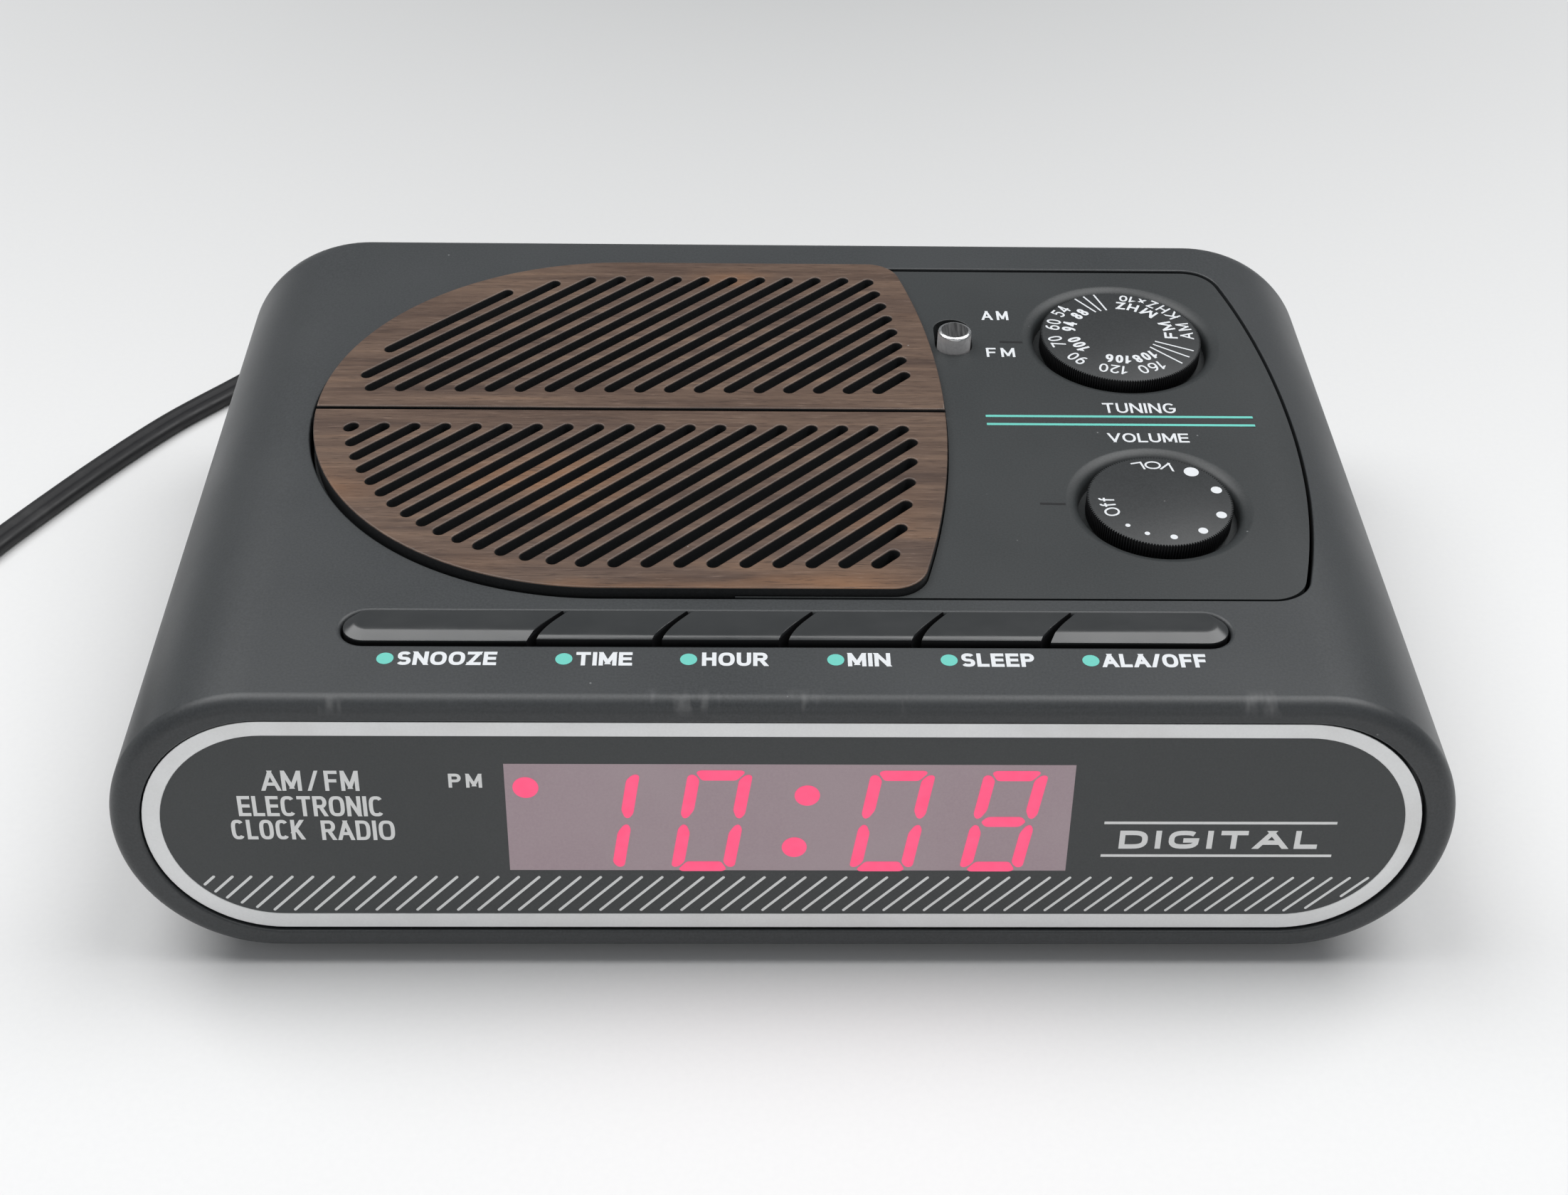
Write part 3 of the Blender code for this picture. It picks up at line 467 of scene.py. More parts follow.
def wood_print():
    """Printed walnut grain running left to right, warmer towards the front."""
    finish = Finish("wood_grain_plastic", (0.12, 0.07, 0.05), 0.46)
    broad = finish.noise(60.0, 3.0, 0.55, (0.16, 1.0, 1.0), 0.6)
    streak = finish.noise(420.0, 4.0, 0.65, (0.06, 1.0, 1.0), 0.4)
    fibre = finish.noise(2600.0, 3.0, 0.7, (0.09, 1.0, 1.0))
    warm = finish.noise(30.0, 2.0, 0.5, (0.7, 1.0, 1.0))
    base = finish.shades(streak, [(0.30, (0.050, 0.028, 0.019)), (0.46, (0.083, 0.049, 0.033)),
                                  (0.58, (0.107, 0.066, 0.045)), (0.76, (0.155, 0.094, 0.060))])
    orange = finish.blend(finish.remap(broad, 0.40, 0.60), base, (0.225, 0.108, 0.048))
    front = finish.remap(finish.axis("Y"), 0.004, -0.026, -0.09, 0.12)
    tone = finish.blend(finish.remap(finish.maths("ADD", warm, front), 0.50, 0.66, 0.0, 0.85), base, orange)
    dark = finish.blend(finish.remap(broad, 0.46, 0.34, 0.0, 0.6), tone, (0.064, 0.038, 0.028))
    fine = finish.blend(finish.remap(fibre, 0.46, 0.30, 0.0, 0.7), dark, (0.034, 0.020, 0.015))
    pale = finish.blend(finish.remap(fibre, 0.60, 0.74, 0.0, 0.30), fine, (0.30, 0.21, 0.16))
    dust = finish.maths("MULTIPLY", finish.spots(260.0, 0.045, 0.88), 0.5)
    finish.paint(finish.blend(dust, pale, (0.40, 0.38, 0.36)))
    finish.roughen(fibre, 0.40, 0.54)
    finish.bump(fibre, 0.35, 0.03)
    return finish.material


def glossy_key():
    finish = Finish("key_black", (0.030, 0.032, 0.033), 0.2)
    smear = finish.noise(160.0, 4.0, 0.6, (0.5, 1.0, 1.0))
    finish.paint(finish.blend(smear, (0.026, 0.028, 0.029), (0.038, 0.040, 0.041)))
    finish.roughen(smear, 0.16, 0.28)
    finish.bump(finish.noise(700.0, 2.0), 0.06, 0.02)
    return finish.material


def lens_black():
    """Back-printed acrylic: near black, faintly uneven."""
    finish = Finish("smoked_lens", (0.058, 0.062, 0.063), 0.34, specular=0.4)
    cloud = finish.noise(70.0, 4.0, 0.6)
    fine = finish.noise(3200.0, 2.0)
    mottled = finish.blend(fine, (0.039, 0.043, 0.044), (0.061, 0.065, 0.066))
    specks = finish.maths("MULTIPLY", finish.spots(180.0, 0.04, 0.93), 0.4)
    finish.paint(finish.blend(specks, mottled, (0.3, 0.3, 0.3)))
    finish.roughen(cloud, 0.28, 0.40)
    return finish.material


def window_pink():
    """The clear part of the lens, with the pale display face behind it."""
    finish = Finish("display_window", (0.46, 0.35, 0.38), 0.30, specular=0.4)
    fine = finish.noise(2800.0, 2.0)
    cloud = finish.noise(45.0, 3.0)
    mottled = finish.blend(fine, (0.415, 0.315, 0.345), (0.495, 0.380, 0.415))
    finish.paint(finish.blend(finish.remap(cloud, 0.4, 0.65, 0.0, 0.4), mottled, (0.50, 0.41, 0.43)))
    return finish.material


def lit_segment():
    finish = Finish("lit_segment", (0.5, 0.03, 0.08), 0.4)
    glow = finish.noise(420.0, 2.0)
    light = finish.blend(glow, (1.0, 0.070, 0.200), (1.0, 0.115, 0.260))
    finish.link(light, finish.shader.inputs["Emission Color"])
    finish.shader.inputs["Emission Strength"].default_value = 0.95
    finish.shader.inputs["Base Color"].default_value = (0.02, 0.002, 0.004, 1.0)
    return finish.material


def ink(name, colour, worn=0.25, metallic=0.0):
    finish = Finish(name, colour, 0.5, metallic)
    patch = finish.noise(1500.0, 3.0, 0.6)
    finish.paint(finish.blend(finish.remap(patch, 0.55, 0.8, 0.0, worn), colour, tint(colour, 0.55)))
    finish.bump(patch, 0.2, 0.01)
    return finish.material


def ring_paint():
    finish = Finish("ring_silver", (0.74, 0.745, 0.745), 0.45, metallic=0.85)
    cloud = finish.noise(60.0, 4.0, 0.6)
    fine = finish.noise(2600.0, 2.0)
    even = finish.blend(fine, (0.705, 0.710, 0.710), (0.780, 0.785, 0.785))
    finish.paint(finish.blend(finish.remap(cloud, 0.5, 0.75, 0.0, 0.35), even, (0.66, 0.645, 0.62)))
    finish.roughen(cloud, 0.40, 0.52)
    return finish.material


def bright_metal(name, colour, roughness, streak=(1.0, 1.0, 0.02), scale=2500.0):
    finish = Finish(name, colour, roughness, 1.0)
    lines = finish.noise(scale, 3.0, 0.6, streak)
    finish.paint(finish.blend(lines, tint(colour, 0.72), tint(colour, 1.15)))
    finish.roughen(lines, roughness * 0.7, roughness * 1.4)
    finish.bump(lines, 0.2, 0.01)
    return finish.material


def cord_rubber():
    finish = Finish("cord_black", (0.014, 0.014, 0.015), 0.46, specular=0.35)
    fine = finish.noise(1800.0, 3.0)
    rub = finish.remap(finish.noise(110.0, 4.0, 0.7), 0.58, 0.75, 0.0, 0.5)
    finish.paint(finish.blend(rub, (0.011, 0.011, 0.012), (0.036, 0.036, 0.036)))
    finish.roughen(finish.noise(240.0, 3.0), 0.40, 0.56)
    finish.bump(fine, 0.15, 0.03)
    return finish.material


def plain(name, colour, roughness=0.5, metallic=0.0, scale=900.0, contrast=0.25):
    """A finish for pieces inside and below: mottled colour, uneven gloss and a fine bump."""
    finish = Finish(name, colour, roughness, metallic)
    grain = finish.noise(scale, 4.0, 0.6)
    finish.paint(finish.blend(grain, tint(colour, 1.0 - contrast), tint(colour, 1.0 + contrast)))
    finish.roughen(grain, max(0.05, roughness - 0.08), min(1.0, roughness + 0.08))
    finish.bump(grain, 0.25, 0.03)
    return finish.material


def wound(name, colour, pitch, roughness=0.4, metallic=0.6, direction="X"):
    """Wire wound round an axis, or laminated sheets: bands a pitch apart."""
    finish = Finish(name, colour, roughness, metallic)
    bands = finish.node("ShaderNodeTexWave", bands_direction=direction)
    finish.link(finish.place, bands.inputs["Vector"])
    bands.inputs["Scale"].default_value = 0.314 / (pitch * MM)
    bands.inputs["Distortion"].default_value = 0.4
    finish.paint(finish.blend(bands.outputs["Fac"], tint(colour, 0.5), tint(colour, 1.2)))
    finish.bump(bands.outputs["Fac"], 0.5, 0.1)
    return finish.material


FINISHES = {
    "cabinet": cabinet_plastic(),
    "panel": moulded("panel_plastic", (0.025, 0.028, 0.029), 0.46, grain=2900.0).material,
    "wood": wood_print(),
    "key": glossy_key(),
    "lens": lens_black(),
    "window": window_pink(),
    "lit": lit_segment(),
    "white": ink("white_ink", (0.64, 0.66, 0.68)),
    "grey": ink("silver_ink", (0.72, 0.725, 0.72), 0.12, 0.85),
    "teal": ink("teal_ink", (0.125, 0.50, 0.43), 0.15),
    "dark": ink("dark_ink", (0.003, 0.003, 0.004), 0.4),
    "ring": ring_paint(),
    "dial_face": moulded("dial_face", (0.022, 0.024, 0.025), 0.5, grain=3000.0).material,
    # The dials' dark knurled sides; on the keys the same black is painted shade for their shadowed walls.
    "dark_side_and_painted_wall_shade": moulded("dark_side_and_painted_wall_shade", (0.010, 0.010, 0.011), 0.42, dust=False).material,
    "chrome": bright_metal("switch_chrome", (0.80, 0.80, 0.80), 0.22),
    # The switch top's dark colour is a painted reflection: it stands in for a dark ceiling mirrored in the
    # polished top.
    "dark_reflection_top": bright_metal("switch_top_painted_reflection", (0.13, 0.13, 0.13), 0.42, (1.0, 0.05, 1.0)),
    "satin_side": plain("switch_side", (0.50, 0.49, 0.49), 0.40, 0.30, 1800.0),
    "cord": cord_rubber(),
    "rubber": plain("foot_rubber", (0.016, 0.016, 0.016), 0.75),
    "steel": bright_metal("bright_steel", (0.62, 0.62, 0.60), 0.30, (1.0, 1.0, 1.0), 900.0),
    "brass": bright_metal("plug_brass", (0.76, 0.60, 0.30), 0.26, (1.0, 0.03, 1.0), 1500.0),
    "black": moulded("black_plastic", (0.020, 0.021, 0.022), 0.45, dust=False).material,
    "board": plain("circuit_board", (0.26, 0.16, 0.06), 0.55, 0.0, 500.0),
    "clear": plain("milky_plastic", (0.50, 0.50, 0.46), 0.25, 0.0, 300.0, 0.1),
    "cone": wound("paper_cone", (0.030, 0.029, 0.028), 1.3, 0.8, 0.0, "DIAGONAL"),
    "ferrite": plain("ferrite", (0.07, 0.068, 0.07), 0.55),
    "iron": wound("laminated_iron", (0.20, 0.20, 0.21), 0.8, 0.45, 0.7, "Y"),
    "tape": plain("yellow_tape", (0.72, 0.52, 0.12), 0.4, 0.0, 400.0, 0.12),
    "copper": wound("copper_wire", (0.62, 0.30, 0.16), 0.5, 0.35, 0.9, "X"),
    "sleeve": plain("blue_sleeve", (0.03, 0.06, 0.26), 0.32, 0.0, 400.0),
    "can": plain("battery_can", (0.26, 0.27, 0.28), 0.35, 0.5, 200.0),
    "display": plain("display_body", (0.32, 0.22, 0.24), 0.5),
}


# ---------------------------------------------------------------- flat artwork: strokes, letters, discs

def bow(cx, cy, rx, ry, start, stop, steps=10, square=2.0):
    """Part of an ellipse, or of a squarer curve; angles in degrees."""
    points = []
    for step in range(steps + 1):
        angle = math.radians(start + (stop - start) * step / steps)
        across, up = math.cos(angle), math.sin(angle)
        points.append((cx + rx * math.copysign(abs(across) ** (2 / square), across),
                       cy + ry * math.copysign(abs(up) ** (2 / square), up)))
    return points


def letter_strokes(square):
    """Each sign's width beside its height, and the middle lines of its strokes in a unit cell."""
    bowl = [(0, 1)] + bow(0.64, 0.74, 0.36, 0.26, 90, -90) + [(0, 0.48)]
    loop_low = bow(0.5, 0.31, 0.5, 0.31, 0, 360, 20, square)
    nine_loop = bow(0.5, 0.69, 0.5, 0.31, 0, 360, 20, square)
    left, right, foot = [(0, 0), (0, 1)], [(1, 0), (1, 1)], [(0, 0), (1, 0)]
    return {
        "A": (0.90, [[(0, 0), (0.5, 1)], [(0.5, 1), (1, 0)], [(0.22, 0.30), (0.78, 0.30)]]),
        "C": (0.82, [bow(0.5, 0.5, 0.5, 0.5, 42, 318, 20, square)]),
        "D": (0.78, [[(0, 0), (0, 1)] + bow(0.42, 0.5, 0.58, 0.5, 90, -90, 14, square) + [(0, 0)]]),
        "E": (0.66, [[(1, 1), (0, 1), (0, 0), (1, 0)], [(0, 0.51), (0.93, 0.51)]]),
        "F": (0.62, [[(1, 1), (0, 1), (0, 0)], [(0, 0.50), (0.88, 0.50)]]),
        "G": (0.86, [bow(0.5, 0.5, 0.5, 0.5, 45, 335, 20, square) + [(0.98, 0.45), (0.58, 0.45)]]),
        "H": (0.76, [left, right, [(0, 0.51), (1, 0.51)]]),
        "I": (0.0, [left]),
        "K": (0.78, [left, [(0.05, 0.38), (0.98, 1)], [(0.36, 0.55), (1, 0)]]),
        "L": (0.60, [[(0, 1), (0, 0), (1, 0)]]),
        "M": (0.96, [left, right, [(0.04, 1), (0.5, 0.12)], [(0.96, 1), (0.5, 0.12)]]),
        "N": (0.80, [left, right, [(0.04, 1), (0.96, 0)]]),
        "O": (0.90, [bow(0.5, 0.5, 0.5, 0.5, 0, 360, 32, square)]),
        "P": (0.70, [left, bowl]),
        "R": (0.76, [left, bowl, [(0.55, 0.46), (0.98, 0)]]),
        "S": (0.72, [bow(0.5, 0.745, 0.46, 0.255, 25, 270, 12, square)
                     + bow(0.5, 0.245, 0.5, 0.245, 90, -155, 12, square)[1:]]),
        "T": (0.74, [[(0, 1), (1, 1)], [(0.5, 1), (0.5, 0)]]),
        "U": (0.76, [[(0, 1)] + bow(0.5, 0.36, 0.5, 0.36, 180, 360, 14, square) + [(1, 1)]]),
        "V": (0.84, [[(0, 1), (0.5, 0)], [(0.5, 0), (1, 1)]]),
        "X": (0.50, [[(0, 0.05), (1, 0.65)], [(0, 0.65), (1, 0.05)]]),
        "Z": (0.74, [[(0, 1), (1, 1)], [(0.95, 1), (0.05, 0)], foot]),
        "f": (0.30, [bow(0.95, 0.80, 0.6, 0.20, 80, 180, 6) + [(0.35, 0)], [(-0.1, 0.66), (0.95, 0.66)]]),
        "/": (0.36, [[(0, 0), (1, 1)]]),
        " ": (0.30, []),
        "0": (0.58, [bow(0.5, 0.5, 0.5, 0.5, 0, 360, 26, square)]),
        "1": (0.24, [[(0, 0.74), (0.9, 0.95)], right]),
        "2": (0.58, [bow(0.5, 0.71, 0.5, 0.29, 170, -35, 12, square) + [(0.06, 0.04)], foot]),
        "4": (0.62, [[(0.76, 0), (0.76, 1)], [(0.05, 0.30), (0.72, 1)], [(0, 0.27), (1, 0.27)]]),
        "5": (0.58, [[(0.92, 1), (0.16, 1), (0.06, 0.50)]
                     + bow(0.48, 0.33, 0.52, 0.33, 135, -150, 14, square)]),
        "6": (0.58, [loop_low, bow(0.62, 0.34, 0.62, 0.66, 180, 75, 10)]),
        "7": (0.58, [[(0, 1), (1, 1)], [(0.96, 1), (0.34, 0)]]),
        "8": (0.58, [bow(0.5, 0.76, 0.42, 0.24, 0, 360, 18), bow(0.5, 0.26, 0.5, 0.26, 0, 360, 20)]),
        "9": (0.58, [nine_loop, bow(0.38, 0.66, 0.62, 0.66, 0, -105, 10)]),
    }


def unit_normal(a, b):
    length = max(math.dist(a, b), 1e-9)
    return Vector(((a[1] - b[1]) / length, (b[0] - a[0]) / length))


def stroke(shape, points, weight, height, round_ends=False):
    """A flat stroke of even weight along points, with mitred corners."""
    closed = math.dist(points[0], points[-1]) < 1e-6
    if closed:
        points = points[:-1]
    count = len(points)
    rails = []
    for i, point in enumerate(points):
        normals = []
        if closed or i > 0:
            normals.append(unit_normal(points[i - 1], point))
        if closed or i < count - 1:
            normals.append(unit_normal(point, points[(i + 1) % count]))
        middle = sum(normals, Vector((0.0, 0.0))) / len(normals)
        side = middle * (weight / 2 / max(middle.length_squared, 0.4))
        rails.append([shape.verts.new((point[0] + s * side.x, point[1] + s * side.y, height)) for s in (1, -1)])
    for i in range(count if closed else count - 1):
        a, b = rails[i], rails[(i + 1) % count]
        shape.faces.new((a[1], b[1], b[0], a[0]))
    if round_ends:
        for point in (points[0], points[-1]):
            disc(shape, point, weight / 2, height + 0.001, 12)


def slash(start, end, weight, cap):
    """Corners of a slanting straight stroke, cut level where it ends on the cap line or the base line."""
    (x0, y0), (x1, y1) = sorted((start, end), key=lambda point: point[1])
    reach = weight / 2 * math.hypot(x1 - x0, y1 - y0) / (y1 - y0)
    lean = (x1 - x0) / (y1 - y0)
    low = y0 - weight / 2
    high = y1 + (weight / 2 if y1 > cap - weight - 0.01 else 0.0)
    bottom, top = x0 + lean * (low - y0), x1 + lean * (high - y1)
    return [(bottom - reach, low), (bottom + reach, low), (top + reach, high), (top - reach, high)]


def squared(points, weight):
    """The same open stroke, its straight ends carried on by half its weight."""
    made = list(points)
    for end, inner in ((0, 1), (-1, -2)):
        tip, near = Vector(points[end]), Vector(points[inner])
        if (tip - near).length > weight:
            made[end] = tuple(tip + (tip - near).normalized() * weight / 2)
    return made


def disc(shape, centre, radius, height, steps=28, flat=1.0):
    ring = [shape.verts.new((x, y, height)) for x, y in arc(centre, radius, 0.0, 2 * math.pi, steps, flat)[:-1]]
    shape.faces.new(ring)


def word(shape, text, width, cap, weight, middle, angle=0.0, square=2.0, spacing=0.16, height=0.0):
    """A word that spans width; middle is the middle of its base line, angle its turn in degrees."""
    signs = letter_strokes(square)
    gap = weight + spacing * cap
    share = (width - weight - gap * (len(text) - 1)) / max(1e-6, sum(signs[s][0] for s in text))
    turn = Matrix.Rotation(math.radians(angle), 2)
    corner = Vector(middle) + turn @ Vector((-width / 2 + weight / 2, weight / 2))
    x = 0.0
    for number, sign in enumerate(text):
        wide = signs[sign][0] * share
        for line, points in enumerate(signs[sign][1]):
            cell = [(x + px * wide, py * (cap - weight)) for px, py in points]
            level = height + 0.002 * (line + number % 2)
            if len(cell) == 2 and min(abs(a - b) for a, b in zip(*cell)) > 1e-4:
                corners = [corner + turn @ Vector(point) for point in slash(*cell, weight, cap)]
                shape.faces.new([shape.verts.new((point.x, point.y, level)) for point in corners])
                continue
            if math.dist(cell[0], cell[-1]) > 1e-6:
                cell = squared(cell, weight)
            stroke(shape, [tuple(corner + turn @ Vector(point)) for point in cell], weight, level)
        x += wide + gap


def marks(shape, centre, height, cap, weight, inward, square, signs):
    """Words set square to a circle's radius: each one's text, angle, radius and width. Tops look out or in."""
    for text, angle, radius, width in signs:
        lean = math.radians(angle)
        base = radius + (cap / 2 if inward else -cap / 2)
        middle = (centre[0] + base * math.cos(lean), centre[1] + base * math.sin(lean))
        turn = angle + (90.0 if inward else -90.0)
        word(shape, text, width, cap, weight, middle, turn, square, 0.16, height)


def printed(name, shape, finish, body="cabinet", on_front=False):
    """Turns every face of flat artwork up, and stands it on the lens if it belongs there."""
    shape.normal_update()
    for face in shape.faces:
        if face.normal.z < 0:
            face.normal_flip()
    if on_front:
        stood_on_front(shape, LENS_DEEP)
    thing = add_mesh(name, shape, FINISHES[finish], closed=False)
    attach(thing, body)
    return thing


# ---------------------------------------------------------------- cabinet shells

def section(half_width, radius):
    return [(x, z + MID_HEIGHT) for x, z in pill(half_width, radius, SIDE_STEPS)]


def cabinet_loft(inset, front_y, back_y, front_round, back_round, back_corner):
    """Sections from the leaning front to the upright back, drawn in at both ends to round the edges."""
    stations = []
    for step in range(9):
        angle = math.pi / 2 * step / 8
        drawn = front_round * (1 - math.sin(angle))
        stations.append((front_y + front_round * (1 - math.cos(angle)), drawn, drawn))
    straight = back_y - back_corner - front_y - front_round
    for step in range(1, 9):
        stations.append((front_y + front_round + step * straight / 9, 0.0, 0.0))
    back = {back_corner * (1 - math.sin(math.pi / 2 * step / 18)) for step in range(19)}
    back |= {back_round * (1 - math.sin(math.pi / 2 * step / 8)) for step in range(9)}
    for left in sorted(back, reverse=True):
        wide = back_corner - math.sqrt(max(0.0, back_corner ** 2 - (back_corner - left) ** 2))
        inside = max(0.0, back_round - left)
        high = back_round - math.sqrt(max(0.0, back_round ** 2 - inside ** 2))
        stations.append((back_y - left, wide, high))
    rings = []
    for y, wide, high in stations:
        share = (back_y - y) / (back_y - front_y)
        rings.append([(x, y - (TOP - z) * math.tan(FRONT_TILT) * share, z)
                      for x, z in section(HALF_WIDTH - inset - wide, SIDE_RADIUS - inset - high)])
    return ring_stack(rings)


def outer_loft():
    return cabinet_loft(0.0, FRONT_Y, BACK_Y, FRONT_ROUND, BACK_ROUND, BACK_CORNER)


def inner_loft():
    return cabinet_loft(WALL, FRONT_Y + WALL + 0.6, BACK_Y - WALL, 1.0, 1.5, BACK_CORNER - WALL)


def cylinder(x, y, low, high, radius, steps=24):
    return prism(arc((x, y), radius, 0.0, 2 * math.pi, steps)[:-1], low, high)


def build_top_shell():
    shell = add_mesh("upper_shell", outer_loft(), FINISHES["cabinet"])
    seat = rolled_cutter(lambda o: lens_outline(LENS_CLEARANCE + o, 0.0, 0.0), 0.4, -2.5, lambda x: 0.0)
    window = prism(lens_outline(-3.0, 0.0, 0.0), -12.0, 8.0)
    relief = cylinder(0.0, 0.0, -8.0, 8.0, RELIEF_HOLE)
    bmesh.ops.transform(relief, verts=relief.verts,
                        matrix=Matrix.Translation((RELIEF_PLACE.x, BACK_Y, RELIEF_PLACE.z))
                        @ Matrix.Rotation(math.pi / 2, 4, "X"))
    carve(shell, [inner_loft(), block((-120, PARTING_FRONT, -5), (120, 90, PARTING_Z + GAP / 2)),
                  rolled_cutter(opening_outline, 0.3, 40.0), rolled_cutter(key_slot_outline, 0.7, 44.9),
                  stood_on_front(seat), stood_on_front(window), relief])
    even_shading(shell)
    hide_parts("top_cabinet")
    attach(shell, "cabinet")


def build_bottom_shell():
    shell = add_mesh("lower_shell", outer_loft(), FINISHES["cabinet"])
    low, high = low_high("battery_door")
    door = block((low.x - 0.4, low.y - 0.4, OUTSIDE), (high.x + 0.4, high.y + 6.6, high.z + 0.3))
    space = block((low.x + 1.6, low.y + 1.6, OUTSIDE), (high.x - 1.6, high.y - 1.6, 20.0))
    tools = [block((-120, -90, PARTING_Z - GAP / 2), (120, 90, 80)),
             block((-120, -90, -5), (120, PARTING_FRONT + GAP, 80)), inner_loft(), door, space]
    for number in range(1, 5):
        x, y, _ = middle_of(f"case_screw_{number}")
        tools.append(cylinder(x, y, OUTSIDE, INSIDE, SCREW_HOLE))
    for row in range(6):
        tools.append(prism(pill(9.0, 0.9, 6, -40.0, -20.0 + 4.5 * row), OUTSIDE, INSIDE))
    carve(shell, tools)
    even_shading(shell)
    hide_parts("bottom_cabinet")
    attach(shell, "cabinet")


# ---------------------------------------------------------------- control panel

def dial_place(name):
    """(middle x, middle y, radius, top) of a dial or button."""
    low, high = low_high(name)
    return *middle_of(name)[:2], (high.x - low.x) / 2, high.z


def dish_cutter(x, y, radius):
    """A shallow dish with a gentle slope and a soft rim, and the hole for the dial's stem."""
    below, above = 40.0, TOP + 6.0
    slope = ((1.15, DISH_FLOOR), (1.2, 48.15), (1.3, 48.55), (1.55, 49.00), (1.9, 49.33), (2.3, 49.58),
             (2.7, 49.77), (3.1, 49.91), (3.5, TOP + 0.01), (3.5, above))
    profile = [(0.0, below), (STEM_HOLE, below), (STEM_HOLE, DISH_FLOOR)]
    profile += [(radius + out, z) for out, z in slope] + [(0.0, above)]
    return turned(profile, x, y, 96)


def build_panel():
    edge = [(x + PANEL_SHIFT[0], y + PANEL_SHIFT[1]) for x, y in opening_outline(-PANEL_GAP)]
    panel = add_mesh("control_plate", prism(edge, PANEL_FLOOR_BOTTOM, 60.0), FINISHES["panel"])
    carve(panel, [outer_loft()], "INTERSECT")
    dials = [dial_place(name) for name in ("tuning_knob", "volume_knob")]
    carve(panel, [cylinder(x, y, CUP_BOTTOM, CUP_TOP, radius + DISH_MARGIN + CUP_WALL, 48)
                  for x, y, radius, _ in dials], "UNION")
    x, y, radius, _ = dial_place("band_switch_cap")
    reach = radius + 0.3
    half = 2.53                # half of the switch's travel, and a little more

    def switch_slot(offset):
        return [(x - b, y + half + a) for a, b in pill(reach + half + offset, reach + offset, 16)]

    tools = [prism(grille_outline(POCKET_GAP), PANEL_FLOOR_TOP, 70.0),
             block((-95.0, -60.0, PANEL_FLOOR_TOP), (-8.0, 80.0, 70.0)),
             cylinder(middle_of("speaker_cone")[0], INSERT_Y, 40.0, 60.0, SPEAKER_HOLE, 64)]
    tools += [dish_cutter(*dial[:3]) for dial in dials]
    carve(panel, tools + [rolled_cutter(switch_slot, 0.15, 40.0)])
    even_shading(panel)
    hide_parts("control_panel")
    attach(panel, "cabinet")


def build_panel_print():
    white = bmesh.new()
    level = TOP + PRINT
    word(white, "TUNING", 12.7, 2.95, 0.42, (61.9, 11.5), 0.0, 2.2, 0.12, level)
    word(white, "VOLUME", 13.8, 2.6, 0.42, (62.25, 2.9), 0.0, 2.2, 0.12, level)
    word(white, "AM", 4.9, 3.0, 0.45, (39.35, 40.7), 0.0, 2.2, 0.25, level)
    word(white, "FM", 5.1, 2.9, 0.45, (39.35, 28.6), 0.0, 2.2, 0.30, level)
    printed("panel_words", white, "white")
    teal = bmesh.new()
    for y in (10.4, 8.0):
        stroke(teal, [(35.0, y), (81.2, y)], 0.62, level)
    printed("panel_lines", teal, "teal")
    dark = bmesh.new()
    for x0, y0, x1, y1 in ((39.5, 33.5, 43.6, 33.4), (41.8, -14.3, 46.0, -14.4)):
        stroke(dark, [(x0, y0), (x1, y1)], 0.55, level)
    printed("pointer_ticks", dark, "dark")


def build_key_print():
    words = (("SNOOZE", -58.3, -43.5, -60.1), ("TIME", -31.7, -23.3, -33.5), ("HOUR", -12.9, -3.1, -14.9),
             ("MIN", 8.9, 15.3, 7.1), ("SLEEP", 25.9, 36.9, 24.1), ("ALA/OFF", 47.1, 62.8, 45.4))
    white = bmesh.new()
    teal = bmesh.new()
    for text, start, end, dot in words:
        word(white, text, end - start, 3.0, 0.64, ((start + end) / 2, -54.35), 0.0, 2.5, 0.10, TOP + PRINT)
        disc(teal, (dot, -52.9), 1.28, TOP + PRINT)
    printed("key_words", white, "white")
    printed("key_dots", teal, "teal")


# ---------------------------------------------------------------- grille

def grille_edges(y):
    """Left and right limits of the slots at y."""
    half = OPENING_HALF - GRILLE_GAP - SLOT_MARGIN
    from_middle = y - INSERT_Y
    if abs(from_middle) > half:
        return None
    left_radius = OPENING_LEFT_RADIUS - GRILLE_GAP - SLOT_MARGIN
    left = OPENING_LEFT_X - left_radius * math.sqrt(1 - (from_middle / half) ** 2)
    bulge = GRILLE_BULGE - SLOT_MARGIN
    return left, GRILLE_RIGHT - GRILLE_BULGE + math.sqrt(bulge ** 2 - from_middle ** 2)


def slot_lines(first, count, low, high):
    """End points of the slanting slots; first is where the first one's line crosses y = 0."""
    lines = []
    fine = 0.05
    for number in range(count):
        inside = []
        for step in range(int((high - low) / fine) + 1):
            y = low + fine * step
            x = first + SLOT_PITCH * number + y / math.tan(SLOT_ANGLE)
            edges = grille_edges(y)
            if edges and edges[0] <= x <= edges[1]:
                inside.append((x, y))
        if inside:
            lines.append((inside[0], inside[-1]))
    return lines


def slanted_pill(near, far, radius):
    points = arc(far, radius, SLOT_ANGLE - math.pi / 2, SLOT_ANGLE + math.pi / 2, 8)
    points += arc(near, radius, SLOT_ANGLE + math.pi / 2, SLOT_ANGLE + 3 * math.pi / 2, 8)
    if math.dist(near, far) < 0.01:
        points = arc(near, radius, 0.0, 2 * math.pi, 16)[:-1]
    return points


def half_outline(low, high):
    """The part of the grille's outline between two limits of y."""
    fine = grille_outline(0.0)
    kept = []
    for (x0, y0), (x1, y1) in zip(fine, fine[1:] + fine[:1]):
        if low <= y0 <= high:
            kept.append((x0, y0))
        for limit in (low, high):
            if (y0 - limit) * (y1 - limit) < 0:
                kept.append((x0 + (x1 - x0) * (limit - y0) / (y1 - y0), limit))
    return kept


